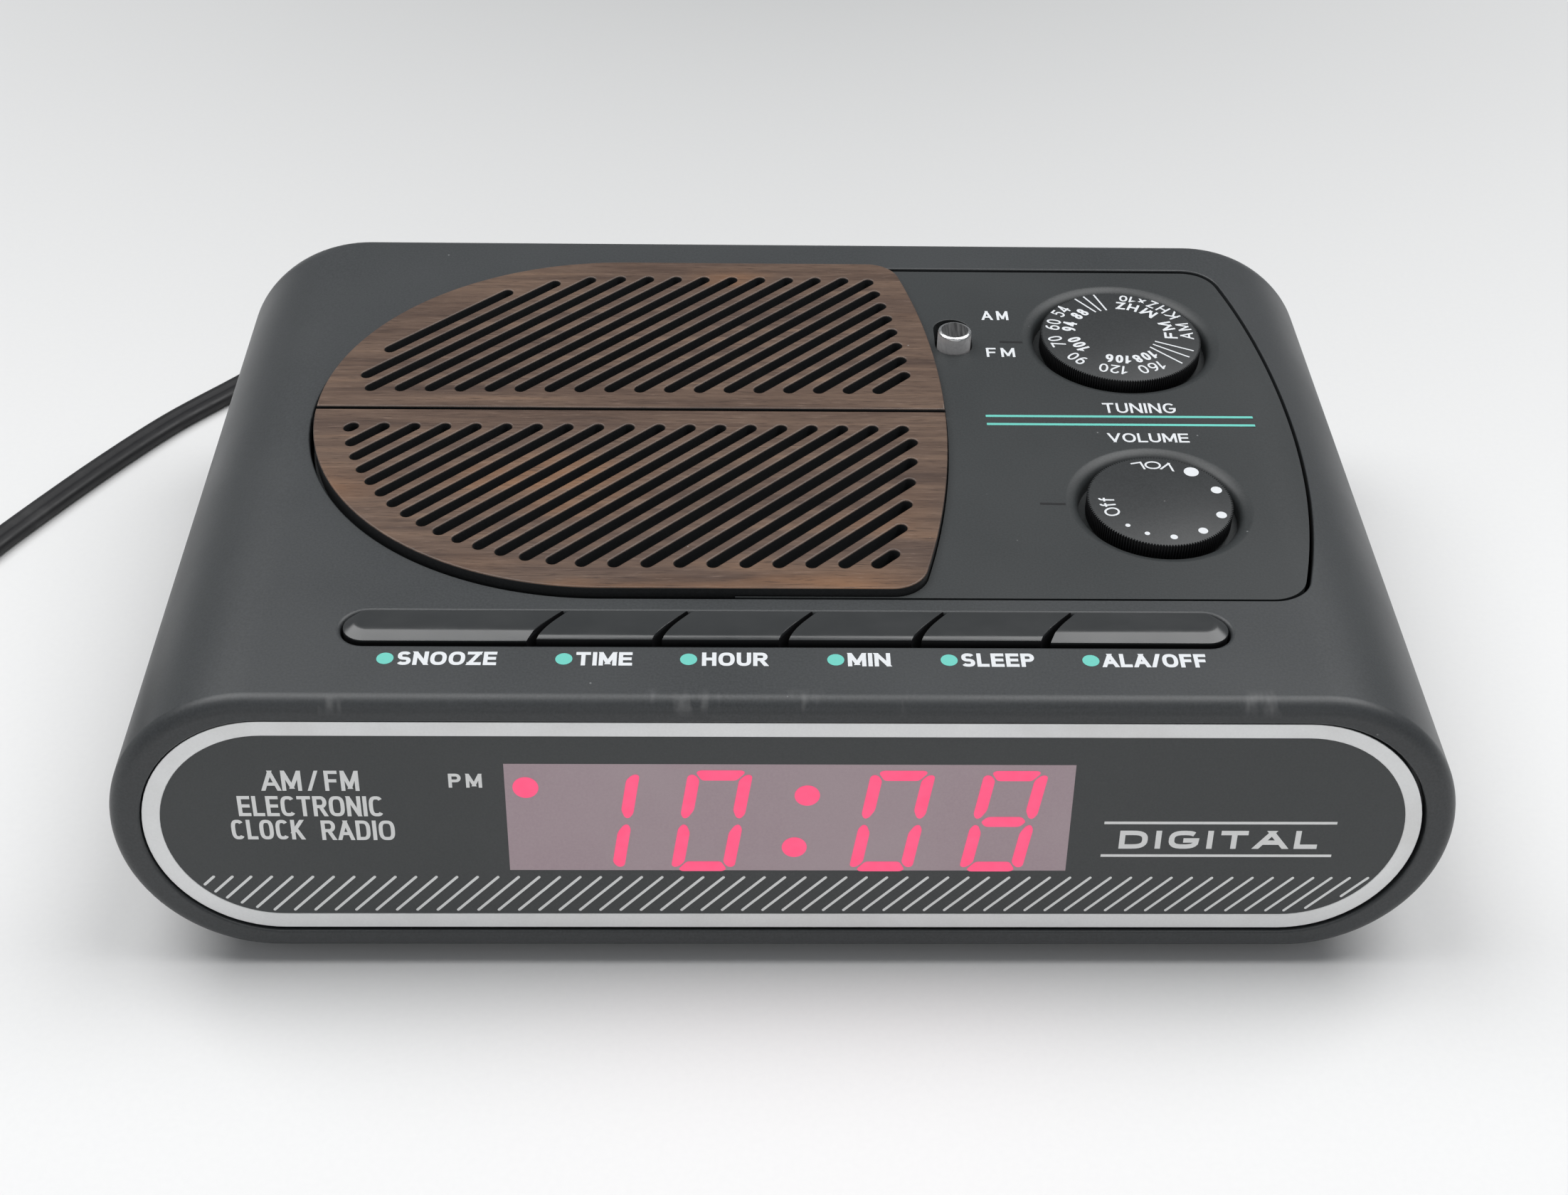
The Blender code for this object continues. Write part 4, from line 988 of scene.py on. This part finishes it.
def build_grille():
    """Each half is a filled curve with its slots as holes, so that every edge carries the same small round."""
    edge = 0.28
    halves = (("upper", half_outline(INSERT_Y + SEAM / 2, 90.0), slot_lines(-97.45, 21, 15.8, 52.0)),
              ("lower", half_outline(-90.0, INSERT_Y - SEAM / 2), slot_lines(-77.0, 25, -32.5, 4.4)))
    for name, outline, slots in halves:
        curve = bpy.data.curves.new("grille_" + name, "CURVE")
        curve.dimensions = "2D"
        curve.fill_mode = "BOTH"
        curve.extrude = ((GRILLE_TOP - GRILLE_LOW) / 2 - edge) * MM
        curve.bevel_depth = edge * MM
        curve.bevel_resolution = 2
        curve.offset = -edge * MM
        for points in [outline] + [slanted_pill(near, far, SLOT_WIDTH / 2) for near, far in slots]:
            spline = curve.splines.new("POLY")
            spline.points.add(len(points) - 1)
            for place, (x, y) in zip(spline.points, points):
                place.co = (x * MM, y * MM, 0.0, 1.0)
            spline.use_cyclic_u = True
        plate = add_object("grille_plate_" + name, curve)
        plate.location.z = (GRILLE_TOP + GRILLE_LOW) / 2 * MM
        bpy.context.view_layer.update()
        mesh = bpy.data.meshes.new_from_object(plate.evaluated_get(bpy.context.evaluated_depsgraph_get()))
        mesh.transform(plate.matrix_world)
        bpy.data.objects.remove(plate)
        plate = add_object("grille_plate_" + name, mesh)
        mesh.materials.clear()
        mesh.materials.append(FINISHES["wood"])
        mesh.materials.append(FINISHES["black"])
        even_shading(plate, 40.0)
        for face in plate.data.polygons:
            face.material_index = 0 if face.normal.z > 0.35 else 1
        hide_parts("grille_" + name)
        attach(plate, "cabinet")


# ---------------------------------------------------------------- lens, print and display

RING_HALF = 94.58
RING_RADIUS = 16.98
RING_SHIFT = -0.08
RING_LIFT = 0.15               # the ring's inner outline sits this far above the lens's middle


def up(down):
    """Turns a distance down the face into the artwork's own y."""
    return LENS_DOWN - down


def ring_inner(offset):
    return pill(RING_HALF + offset, RING_RADIUS + offset, 40, RING_SHIFT, RING_LIFT)


def build_lens():
    rings = []
    for draw, z in ((0.0, -LENS_THICK), (0.0, -0.12), (0.05, -0.03), (0.14, 0.0)):
        rings.append([(x, y, z) for x, y in lens_outline(-draw)])
    lens = add_mesh("clock_lens", stood_on_front(ring_stack(rings), LENS_DEEP), FINISHES["lens"])
    even_shading(lens)
    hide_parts("front_lens")
    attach(lens, "cabinet")
    rails = ((lens_outline(-0.06), 0.0), (lens_outline(-0.12), 0.06), (ring_inner(0.06), 0.06),
             (ring_inner(0.0), 0.0))
    band = ring_stack([[(x, y, height) for x, y in points] for points, height in rails], close=False)
    printed("lens_ring", band, "ring", on_front=True)
    window = bmesh.new()
    corners = ((WINDOW_LEFT, WINDOW_TOP), (WINDOW_RIGHT, WINDOW_TOP), (WINDOW_RIGHT, WINDOW_BOTTOM),
               (WINDOW_LEFT, WINDOW_BOTTOM))
    window.faces.new([window.verts.new((x, up(down), PRINT)) for x, down in corners])
    printed("display_pane", window, "window", on_front=True)


def inside_ring(x, y, margin):
    over = max(0.0, abs(x - RING_SHIFT) - (RING_HALF - RING_RADIUS))
    return math.hypot(over, y - RING_LIFT) <= RING_RADIUS - margin


def build_lens_print():
    art = bmesh.new()
    heavy = 0.60
    for sign, width, cap, weight, x, down, square, spacing in (
            ("AM", 6.0, 3.75, heavy, -75.65, 16.6, 2.6, 0.06),
            ("/", 1.6, 3.75, heavy * 0.9, -70.95, 16.6, 2.6, 0.0),
            ("FM", 5.1, 3.75, heavy, -66.65, 16.6, 2.6, 0.12),
            ("ELECTRONIC", 21.85, 3.8, heavy, -71.7, 21.4, 3.0, 0.08),
            ("CLOCK", 10.9, 3.75, heavy, -78.65, 25.85, 3.0, 0.09),
            ("RADIO", 11.1, 3.75, heavy, -65.0, 25.95, 3.0, 0.09),
            ("PM", 5.0, 2.6, 0.52, -48.25, 15.95, 2.2, 0.28),
            ("DIGITAL", 30.6, 3.5, 0.86, 66.3, 27.4, 2.8, 0.34)):
        word(art, sign, width, cap, weight, (x, up(down)), 0.0, square, spacing, PRINT)
    for down in (22.4, 28.75):
        stroke(art, [(48.4, up(down)), (84.1, up(down))], 0.5, PRINT)
    for number in range(-3, 56):
        beyond = min(0, number) + max(0, number - 52)
        top = Vector((-82.2 + 3.156 * number - 0.3 * beyond, up(33.15)))
        run = [top - Vector((1.0, 1.0)) * step * 0.1 for step in range(67)]
        kept = [point for point in run if inside_ring(point.x, point.y, 0.7)]
        if kept:
            stroke(art, [tuple(kept[0]), tuple(kept[-1] - Vector((0.02, 0.02)))], 0.45, PRINT, True)
    printed("lens_print", art, "grey", on_front=True)


DIGIT_WIDTH = 9.75
DIGIT_HEIGHT = 19.3
DIGIT_SLANT = 0.153
DIGIT_FOOT = 31.9              # down the face
BAR = 1.92
SEGMENTS = {"0": "abcdef", "1": "bc", "8": "abcdefg"}


def segment_outline(name):
    """Outline of one bar in an upright digit's own frame, from its lower left corner."""
    half, wide, tall = BAR / 2, DIGIT_WIDTH, DIGIT_HEIGHT
    middle = tall / 2
    if name in "adg":
        y = {"a": tall - half, "d": half, "g": middle}[name]
        left, right = half + 0.55, wide - half - 0.55
        if name == "g":
            return [(left - 0.1, y), (left + 0.75, y + half), (right - 0.75, y + half), (right + 0.1, y),
                    (right - 0.75, y - half), (left + 0.75, y - half)]
        out = half if name == "a" else -half
        return [(left - 0.35, y + out * 0.55), (left + 0.15, y + out), (right - 0.15, y + out),
                (right + 0.35, y + out * 0.55), (right - 0.75, y - out), (left + 0.75, y - out)]
    outer = -half if name in "ef" else half
    x = half if name in "ef" else wide - half
    low, high = (0.75, middle - 0.5) if name in "ec" else (middle + 0.5, tall - 0.75)
    tip_low, tip_high = (0.35, 0.9) if name in "ec" else (0.9, 0.35)
    return [(x + outer, low + tip_low), (x + outer * 0.4, low), (x - outer * 0.3, low + 0.25),
            (x - outer, low + tip_low + 0.75), (x - outer, high - tip_high - 0.75),
            (x - outer * 0.3, high - 0.25), (x + outer * 0.4, high), (x + outer, high - tip_high)]


def rounded(points, radius, steps=3):
    """The same outline with its corners cut round."""
    made = []
    count = len(points)
    for i in range(count):
        before, here, after = (Vector(points[(i + k) % count]) for k in (-1, 0, 1))
        back = min(radius, (before - here).length / 2)
        on = min(radius, (after - here).length / 2)
        start = here + (before - here).normalized() * back
        end = here + (after - here).normalized() * on
        for step in range(steps + 1):
            t = step / steps
            made.append(start.lerp(here, t).lerp(here.lerp(end, t), t))
    return made


def build_digits():
    lit = bmesh.new()
    height = PRINT + 0.02
    for digit, left in (("1", -34.7), ("0", -17.8), ("0", 9.6), ("8", 26.6)):
        for name in SEGMENTS[digit]:
            bar = [(left + x + DIGIT_SLANT * y, up(DIGIT_FOOT) + y)
                   for x, y in rounded(segment_outline(name), 0.45)]
            lit.faces.new([lit.verts.new((x, y, height)) for x, y in bar])
    for x, down, radius in ((3.0, 17.3, 1.92), (1.2, 27.2, 1.92), (-39.3, 15.9, 1.95)):
        disc(lit, (x, up(down)), radius, height, 36)
    printed("lit_digits", lit, "lit", on_front=True)


# ---------------------------------------------------------------- dials

def knurled(name, x, y, radius, top, teeth):
    """A flat-topped dial with fine ridges down its side."""
    low = DISH_FLOOR + 0.4
    levels = ((top, -0.14), (top - 0.05, -0.05), (top - 0.14, 0.0), (low + 0.3, 0.0), (low, -0.2))
    rings = []
    for height, draw in levels:
        ring = []
        for step in range(teeth * 4):
            reach = radius + draw - (0.0 if step % 4 in (0, 1) else 0.30)
            angle = 2 * math.pi * step / (teeth * 4)
            ring.append((x + reach * math.cos(angle), y + reach * math.sin(angle), height))
        rings.append(ring)
    foot = [(x + STEM_RADIUS * (px - x) / radius, y + STEM_RADIUS * (py - y) / radius, low)
            for px, py, _ in rings[-1]]
    stem = [(px, py, 43.4) for px, py, _ in foot]
    dial = add_mesh(name, ring_stack(rings + [foot, stem]), FINISHES["dark_side_and_painted_wall_shade"])
    dial.data.materials.append(FINISHES["dial_face"])
    for face in dial.data.polygons:
        if face.center.z > (top - 0.12) * MM:
            face.material_index = 1
    soften(dial, 30.0)
    return dial


def build_tuning():
    x, y, radius, top = dial_place("tuning_knob")
    dial = knurled("tuning_dial_knob", x, y, radius, top, 200)
    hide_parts("tuning_knob")
    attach(dial, "tuning_dial")
    art = bmesh.new()
    centre = (x - 0.2, y + 0.9)
    level = top + PRINT
    marks(art, centre, level, 2.6, 0.36, False, 2.2, (
        ("54", 143.5, 12.1, 3.4), ("60", 166.5, 11.95, 3.4), ("70", 193.5, 11.9, 3.4), ("90", 224, 11.8, 3.4),
        ("120", 257.5, 11.75, 4.9), ("160", 292, 11.75, 4.9)))
    marks(art, centre, level, 2.5, 0.50, False, 2.2, (
        ("88", 135, 9.0, 3.1), ("94", 166, 9.0, 3.1), ("100", 204.5, 8.5, 4.4), ("106", 261.5, 8.35, 4.4),
        ("108", 296, 8.35, 4.4)))
    marks(art, centre, level, 2.4, 0.36, True, 2.2, (
        ("A", -3, 12.3, 2.1), ("M", 10.5, 12.3, 2.3), ("K", 29.5, 12.3, 1.8), ("H", 41.5, 12.3, 1.8),
        ("Z", 52.5, 12.3, 1.5)))
    marks(art, centre, level, 2.0, 0.36, True, 2.2, (
        ("X", 62.5, 12.0, 1.2), ("1", 71, 12.0, 0.9), ("0", 78.5, 12.0, 1.5)))
    marks(art, centre, level, 2.4, 0.46, True, 2.2, (
        ("F", -3.5, 9.4, 1.9), ("M", 15.5, 9.4, 2.7), ("M", 47, 9.4, 2.7), ("H", 66.5, 9.4, 1.9),
        ("Z", 80.5, 9.4, 1.7)))
    for near, far, start, stop in ((7.8, 13.3, (115, 107, 99), (120, 112, 103)),
                                   (6.7, 13.9, (338, 328.5, 319), (336.5, 327, 316.5))):
        for inner, outer in zip(start, stop):
            ends = [(centre[0] + r * math.cos(math.radians(a)), centre[1] + r * math.sin(math.radians(a)))
                    for r, a in ((near, inner), (far, outer))]
            stroke(art, ends, 0.32, level)
    printed("tuning_print", art, "white", "tuning_dial")


def build_volume():
    x, y, radius, top = dial_place("volume_knob")
    dial = knurled("volume_dial_knob", x, y, radius, top, 156)
    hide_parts("volume_knob")
    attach(dial, "volume_dial")
    art = bmesh.new()
    level = top + PRINT
    dots = ((51, 10.1, 1.25), (16.5, 10.15, 0.92), (338, 10.2, 0.87), (306, 9.85, 0.79), (275, 9.65, 0.60),
            (249, 9.35, 0.44), (227, 9.1, 0.42))
    for angle, reach, size in dots:
        lean = math.radians(angle)
        disc(art, (x + reach * math.cos(lean), y + reach * math.sin(lean)), size, level)
    marks(art, (x, y), level, 2.15, 0.34, True, 2.1,
          (("V", 74, 9.65, 2.3), ("O", 89, 9.65, 2.75), ("L", 104, 9.65, 1.9)))
    marks(art, (x, y), level, 2.6, 0.34, False, 2.1,
          (("O", 200.5, 8.85, 2.2), ("f", 188, 8.85, 0.95), ("f", 179, 8.85, 0.95)))
    printed("volume_print", art, "white", "volume_dial")


# ---------------------------------------------------------------- band switch and keys

def build_band_switch():
    x, y, radius, top = dial_place("band_switch_cap")
    rolled = top - 0.44        # where the round edge meets the side
    flat = 0.62                # from the side in to the brushed top
    foot, stem_end, stem = 46.2, 41.4, 1.3
    profile = [(0.0, top - 0.06), (radius - 0.66, top - 0.06), (radius - 0.60, top),
               (radius - 0.52, top - 0.01), (radius - 0.24, top - 0.13), (radius - 0.07, top - 0.27),
               (radius, rolled), (radius, foot + 0.1), (radius - 0.1, foot), (stem, foot),
               (stem, stem_end), (0.0, stem_end)]
    cap = add_mesh("band_switch_button", turned(profile, x, y, 72), FINISHES["chrome"])
    # The top disc takes a dark colour that is a painted reflection of a dark ceiling.
    cap.data.materials.append(FINISHES["dark_reflection_top"])
    cap.data.materials.append(FINISHES["satin_side"])
    for face in cap.data.polygons:
        if face.center.z < rolled * MM:
            face.material_index = 2
        elif math.hypot(face.center.x / MM - x, face.center.y / MM - y) < radius - flat:
            face.material_index = 1
    soften(cap, 30.0)
    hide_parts("band_switch_cap")
    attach(cap, "band_switch")


def slanted_side(x, front, back, base, cut_off=0.0):
    """A key's side, leaning right as it goes back from base; cut_off draws its front corner to the left."""
    points = []
    for step in range(15):
        y = front + (back - front) * step / 14
        share = (y - base) / (back - base)
        bend = 0.35 * share + 0.65 * (1 - math.cos(share * math.pi / 2))
        points.append((x - KEY_SLANT + 2 * KEY_SLANT * bend - cut_off * (1 - share) ** 2, y))
    return points


def key_outline(index, draw=0.0, front_draw=0.0):
    """One key's outline drawn in all round, and further at its front and its round end."""
    radius = KEY_SLOT_RADIUS - PANEL_CLEARANCE - draw
    half = KEY_SLOT_HALF - PANEL_CLEARANCE - draw
    base = KEY_Y - KEY_SLOT_RADIUS + PANEL_CLEARANCE + KEY_FRONT_GAP
    front, back = base + draw + front_draw, KEY_Y + radius
    end = radius - 0.9 * front_draw
    middle, flat = (front + back) / 2, (back - front) / 2 / end
    points = []
    if index == len(KEY_JOINS):
        points += arc((half - radius, middle), end, -math.pi / 2, math.pi / 2, 24, flat)
    else:
        points += slanted_side(KEY_JOINS[index] - KEY_GAP / 2 - draw, front, back, base, KEY_CUT_OFF)
    if index == 0:
        points += arc((radius - half, middle), end, math.pi / 2, 3 * math.pi / 2, 24, flat)
    else:
        points += reversed(slanted_side(KEY_JOINS[index - 1] + KEY_GAP / 2 + draw, front, back, base))
    return points


def build_keys():
    """The two end keys have a broad sloping front; the middle four only a narrow rounded one."""
    for index, name in enumerate(KEY_NAMES):
        top = low_high("key_" + name)[1].z
        levels = [(KEY_BOTTOM, 0.0, 0.0), (top - 0.95, 0.0, 0.0)]
        if index in (0, len(KEY_JOINS)):
            levels += [(top - 0.72, 0.03, 0.05), (top - 0.62, 0.08, 0.22), (top - 0.17, 0.16, 1.45),
                       (top - 0.08, 0.22, 1.80), (top, 0.36, 2.40)]
        else:
            levels += [(top - 0.36, 0.03, 0.05), (top - 0.28, 0.08, 0.14), (top - 0.11, 0.14, 0.54),
                       (top - 0.06, 0.20, 0.88), (top - 0.02, 0.28, 1.60), (top, 0.40, 2.80)]
        rings = [[(x, y, z) for x, y in key_outline(index, draw, front)] for z, draw, front in levels]
        key = add_mesh(name + "_button", ring_stack(rings), FINISHES["key"], 28.0)
        # Near-upright walls take the darker black as painted shade, standing in for the shadow down the key
        # walls and in the gaps between keys.
        key.data.materials.append(FINISHES["dark_side_and_painted_wall_shade"])
        for face in key.data.polygons:
            if abs(face.normal.z) < 0.3:
                face.material_index = 1
        even_shading(key, 28.0)
        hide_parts("key_" + name)
        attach(key, name + "_key")


# ---------------------------------------------------------------- cord

CORD_ROUTE = (
    (-50.0, 88.9, 15.0), (-50.0, 95.5, 15.0), (-51.8, 103.4, 13.4), (-56.8, 109.0, 10.2), (-64.3, 113.6, 7.0),
    (-73.0, 115.0, 4.4), (-82.5, 113.6, 3.0), (-92.0, 109.2, CORD_Z), (-100.3, 102.6, CORD_Z),
    (-108.0, 94.8, CORD_Z), (-115.0, 86.8, CORD_Z), (-125.2, 75.0, CORD_Z), (-134.9, 61.1, CORD_Z),
    (-143.4, 47.5, CORD_Z), (-150.4, 35.6, CORD_Z), (-156.0, 25.2, CORD_Z),
)
COIL_TURNS = 7.5
TURN_STEPS = 30
TOUCH_HEADING = Vector((-0.30, -0.954, 0.0)).normalized()
TOUCH_SIDE = Vector((-TOUCH_HEADING.y, TOUCH_HEADING.x, 0.0))


def coil_points():
    """From the touch point the cord winds clockwise: out, in, in, out, and up a layer each second turn."""
    start = math.atan2(TOUCH_SIDE.y, TOUCH_SIDE.x)
    columns = (1, -1, -1, 1, 1, -1, -1, 1, 1)
    points = []
    total = round(COIL_TURNS * TURN_STEPS)
    sweep = 2 * math.pi * 7 + (start + math.pi) % (2 * math.pi)
    for step in range(total + 1):
        turn = sweep / (2 * math.pi) * step / total
        number = int(turn)
        ease = min(1.0, max(0.0, (turn - number - 0.84) / 0.16))
        ease = ease * ease * (3 - 2 * ease)
        column = columns[number] + (columns[number + 1] - columns[number]) * ease
        layer = number // 2 + (ease if number % 2 else 0.0)
        radius = COIL_RADIUS + COIL_STEP * column
        angle = start - 2 * math.pi * turn
        points.append((COIL_PLACE.x + radius * math.cos(angle), COIL_PLACE.y + radius * math.sin(angle),
                       CORD_FLAT_Z + CORD_THICK * layer))
    return points


def cord_path():
    touch = Vector((COIL_PLACE.x, COIL_PLACE.y, CORD_FLAT_Z)) + TOUCH_SIDE * (COIL_RADIUS + COIL_STEP)
    loose = [Vector(p) for p in CORD_ROUTE]
    for point in loose:
        if point.z < 8.0:
            point.z = max(CORD_FLAT_Z, point.z - (CORD_WIDTH - CORD_THICK) / 2)
    loose += [touch - TOUCH_HEADING * back for back in (30.0, 20.2, 9.0)]
    wound_turns = [Vector(p) for p in coil_points()]
    x = middle_of("plug_body")[0]
    tail = [Vector(p) for p in ((x, COIL_PLACE.y + 7.0, wound_turns[-1].z - 0.5), (x, COIL_PLACE.y + 13.5, 7.6),
                                (x, low_high("plug_body")[0].y - 0.2, 6.6))]
    return smooth_line(loose)[:-1] + wound_turns + tail


def smooth_line(points, steps=6):
    """Catmull-Rom curve through the points."""
    made = []
    padded = [points[0]] + points + [points[-1]]
    for a, b, c, d in zip(padded, padded[1:], padded[2:], padded[3:]):
        for step in range(steps):
            t = step / steps
            made.append(0.5 * (2 * b + (c - a) * t + (2 * a - 5 * b + 4 * c - d) * t ** 2
                               + (3 * b - a - 3 * c + d) * t ** 3))
    made.append(points[-1])
    return made


def twin_section(steps=10):
    """Two round conductors side by side with a shallow web between them."""
    right = arc(((CORD_WIDTH - CORD_THICK) / 2, 0.0), CORD_THICK / 2, -2.45, 2.45, steps)
    return right + [(-x, -y) for x, y in right]


def build_cord():
    path = cord_path()
    outline = twin_section()
    rings = []
    for i, point in enumerate(path):
        along = (path[min(i + 1, len(path) - 1)] - path[max(i - 1, 0)]).normalized()
        across = along.cross(Vector((0.0, 0.0, 1.0))).normalized()
        upward = across.cross(along).normalized()
        rings.append([tuple(point + across * x + upward * y) for x, y in outline])
    cord = add_mesh("mains_cord", ring_stack(rings), FINISHES["cord"], 50.0)
    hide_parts("power_cord", "cord_coil")
    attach(cord, "cabinet")


# ---------------------------------------------------------------- pieces that keep their CAD shape

def finish_cad_nodes():
    wanted = {
        "display": ["display_module"], "cord": ["plug_body", "strain_relief"],
        "brass": ["plug_blade_left", "plug_blade_right"],
        "steel": ["tuning_shaft", "volume_shaft", "band_switch_body", "volume_potentiometer", "speaker_frame"]
        + [f"case_screw_{n}" for n in range(1, 5)] + ["tact_switch_" + key for key in KEY_NAMES],
        "black": ["band_switch_lever", "clock_chip", "radio_chip", "battery_box", "battery_snap"],
        "board": ["main_board", "key_board"], "clear": ["tuning_capacitor"], "cone": ["speaker_cone"],
        "ferrite": ["speaker_magnet", "ferrite_rod"],
        "iron": ["transformer_core"], "tape": ["transformer_coil"],
        "copper": ["ferrite_coil"], "sleeve": ["filter_capacitor"], "can": ["battery_9v"],
        "cabinet": ["battery_door"], "rubber": [f"foot_{n}" for n in range(1, 5)],
    }
    for finish, nodes in wanted.items():
        for node in nodes:
            NODES[node].data.materials.clear()
            NODES[node].data.materials.append(FINISHES[finish])


# ---------------------------------------------------------------- stage, lights and camera

FLOOR_HALF = 6000.0
WORLD_COLOUR = (0.93, 0.96, 1.0, 1.0)
WORLD_STRENGTH = 0.24
LAMP_AIM = Vector((0.0, 0.0, 20.0))
LAMPS = (("left", (-430, 200, 900), (600, 800), 7.0), ("right", (440, 200, 900), (600, 800), 7.2),
         ("front", (0, -900, 330), (1200, 450), 1.1))
CAMERA_LENS = 49.80
CAMERA_PLACE = Vector((-7.78, -295.17, 265.75))
CAMERA_PITCH, CAMERA_YAW, CAMERA_ROLL = (math.radians(angle) for angle in (40.031, 1.638, 1.283))


def build_floor():
    shape = bmesh.new()
    size = FLOOR_HALF
    corners = ((-size, -size), (size, -size), (size, size), (-size, size))
    shape.faces.new([shape.verts.new((x, y, 0.0)) for x, y in corners])
    finish = Finish("floor_paper_painted_shade", (0.80, 0.80, 0.80), 0.75, specular=0.2)
    fine = finish.noise(900.0, 3.0)
    pale = finish.blend(fine, (0.755, 0.755, 0.755), (0.785, 0.785, 0.782))
    # Painted shade: the floor colour darkens towards a point behind the radio, standing in for light falling
    # off towards the back.
    reach = finish.node("ShaderNodeVectorMath", operation="DISTANCE")
    finish.link(finish.stretched((0.75, 1.0, 1.0)), reach.inputs[0])
    reach.inputs[1].default_value = (0.0, 0.36, 0.0)
    painted_shade = finish.remap(reach.outputs["Value"], 0.05, 0.42, 0.75, 0.0)
    finish.paint(finish.blend(painted_shade, pale, (0.33, 0.335, 0.335)))
    floor = add_mesh("floor", shape, finish.material)


def build_lights():
    world = bpy.data.worlds.new("studio")
    bpy.context.scene.world = world
    world.use_nodes = True
    background = world.node_tree.nodes["Background"]
    background.inputs["Color"].default_value = WORLD_COLOUR
    background.inputs["Strength"].default_value = WORLD_STRENGTH
    for name, place, size, power in LAMPS:
        data = bpy.data.lights.new("softbox_" + name, "AREA")
        data.shape = "RECTANGLE"
        data.size, data.size_y = (side * MM for side in size)
        data.energy = power
        lamp = add_object("softbox_" + name, data)
        lamp.location = Vector(place) * MM
        lamp.rotation_euler = (LAMP_AIM - Vector(place)).to_track_quat("-Z", "Y").to_euler()


def build_camera():
    data = bpy.data.cameras.new("camera")
    data.lens = CAMERA_LENS
    data.sensor_width = 36.0
    data.clip_start = 0.01
    camera = add_object("camera", data)
    turn = (Matrix.Rotation(-CAMERA_YAW, 4, "Z") @ Matrix.Rotation(math.pi / 2 - CAMERA_PITCH, 4, "X")
            @ Matrix.Rotation(CAMERA_ROLL, 4, "Z"))
    camera.matrix_world = Matrix.Translation(CAMERA_PLACE * MM) @ turn
    bpy.context.scene.camera = camera
    bpy.context.scene.view_settings.view_transform = "Standard"


build_camera()
build_lights()
build_floor()
build_cord()
build_top_shell()
build_bottom_shell()
build_panel()
build_panel_print()
build_key_print()
build_grille()
build_lens()
build_lens_print()
build_digits()
build_tuning()
build_volume()
build_band_switch()
build_keys()
finish_cad_nodes()
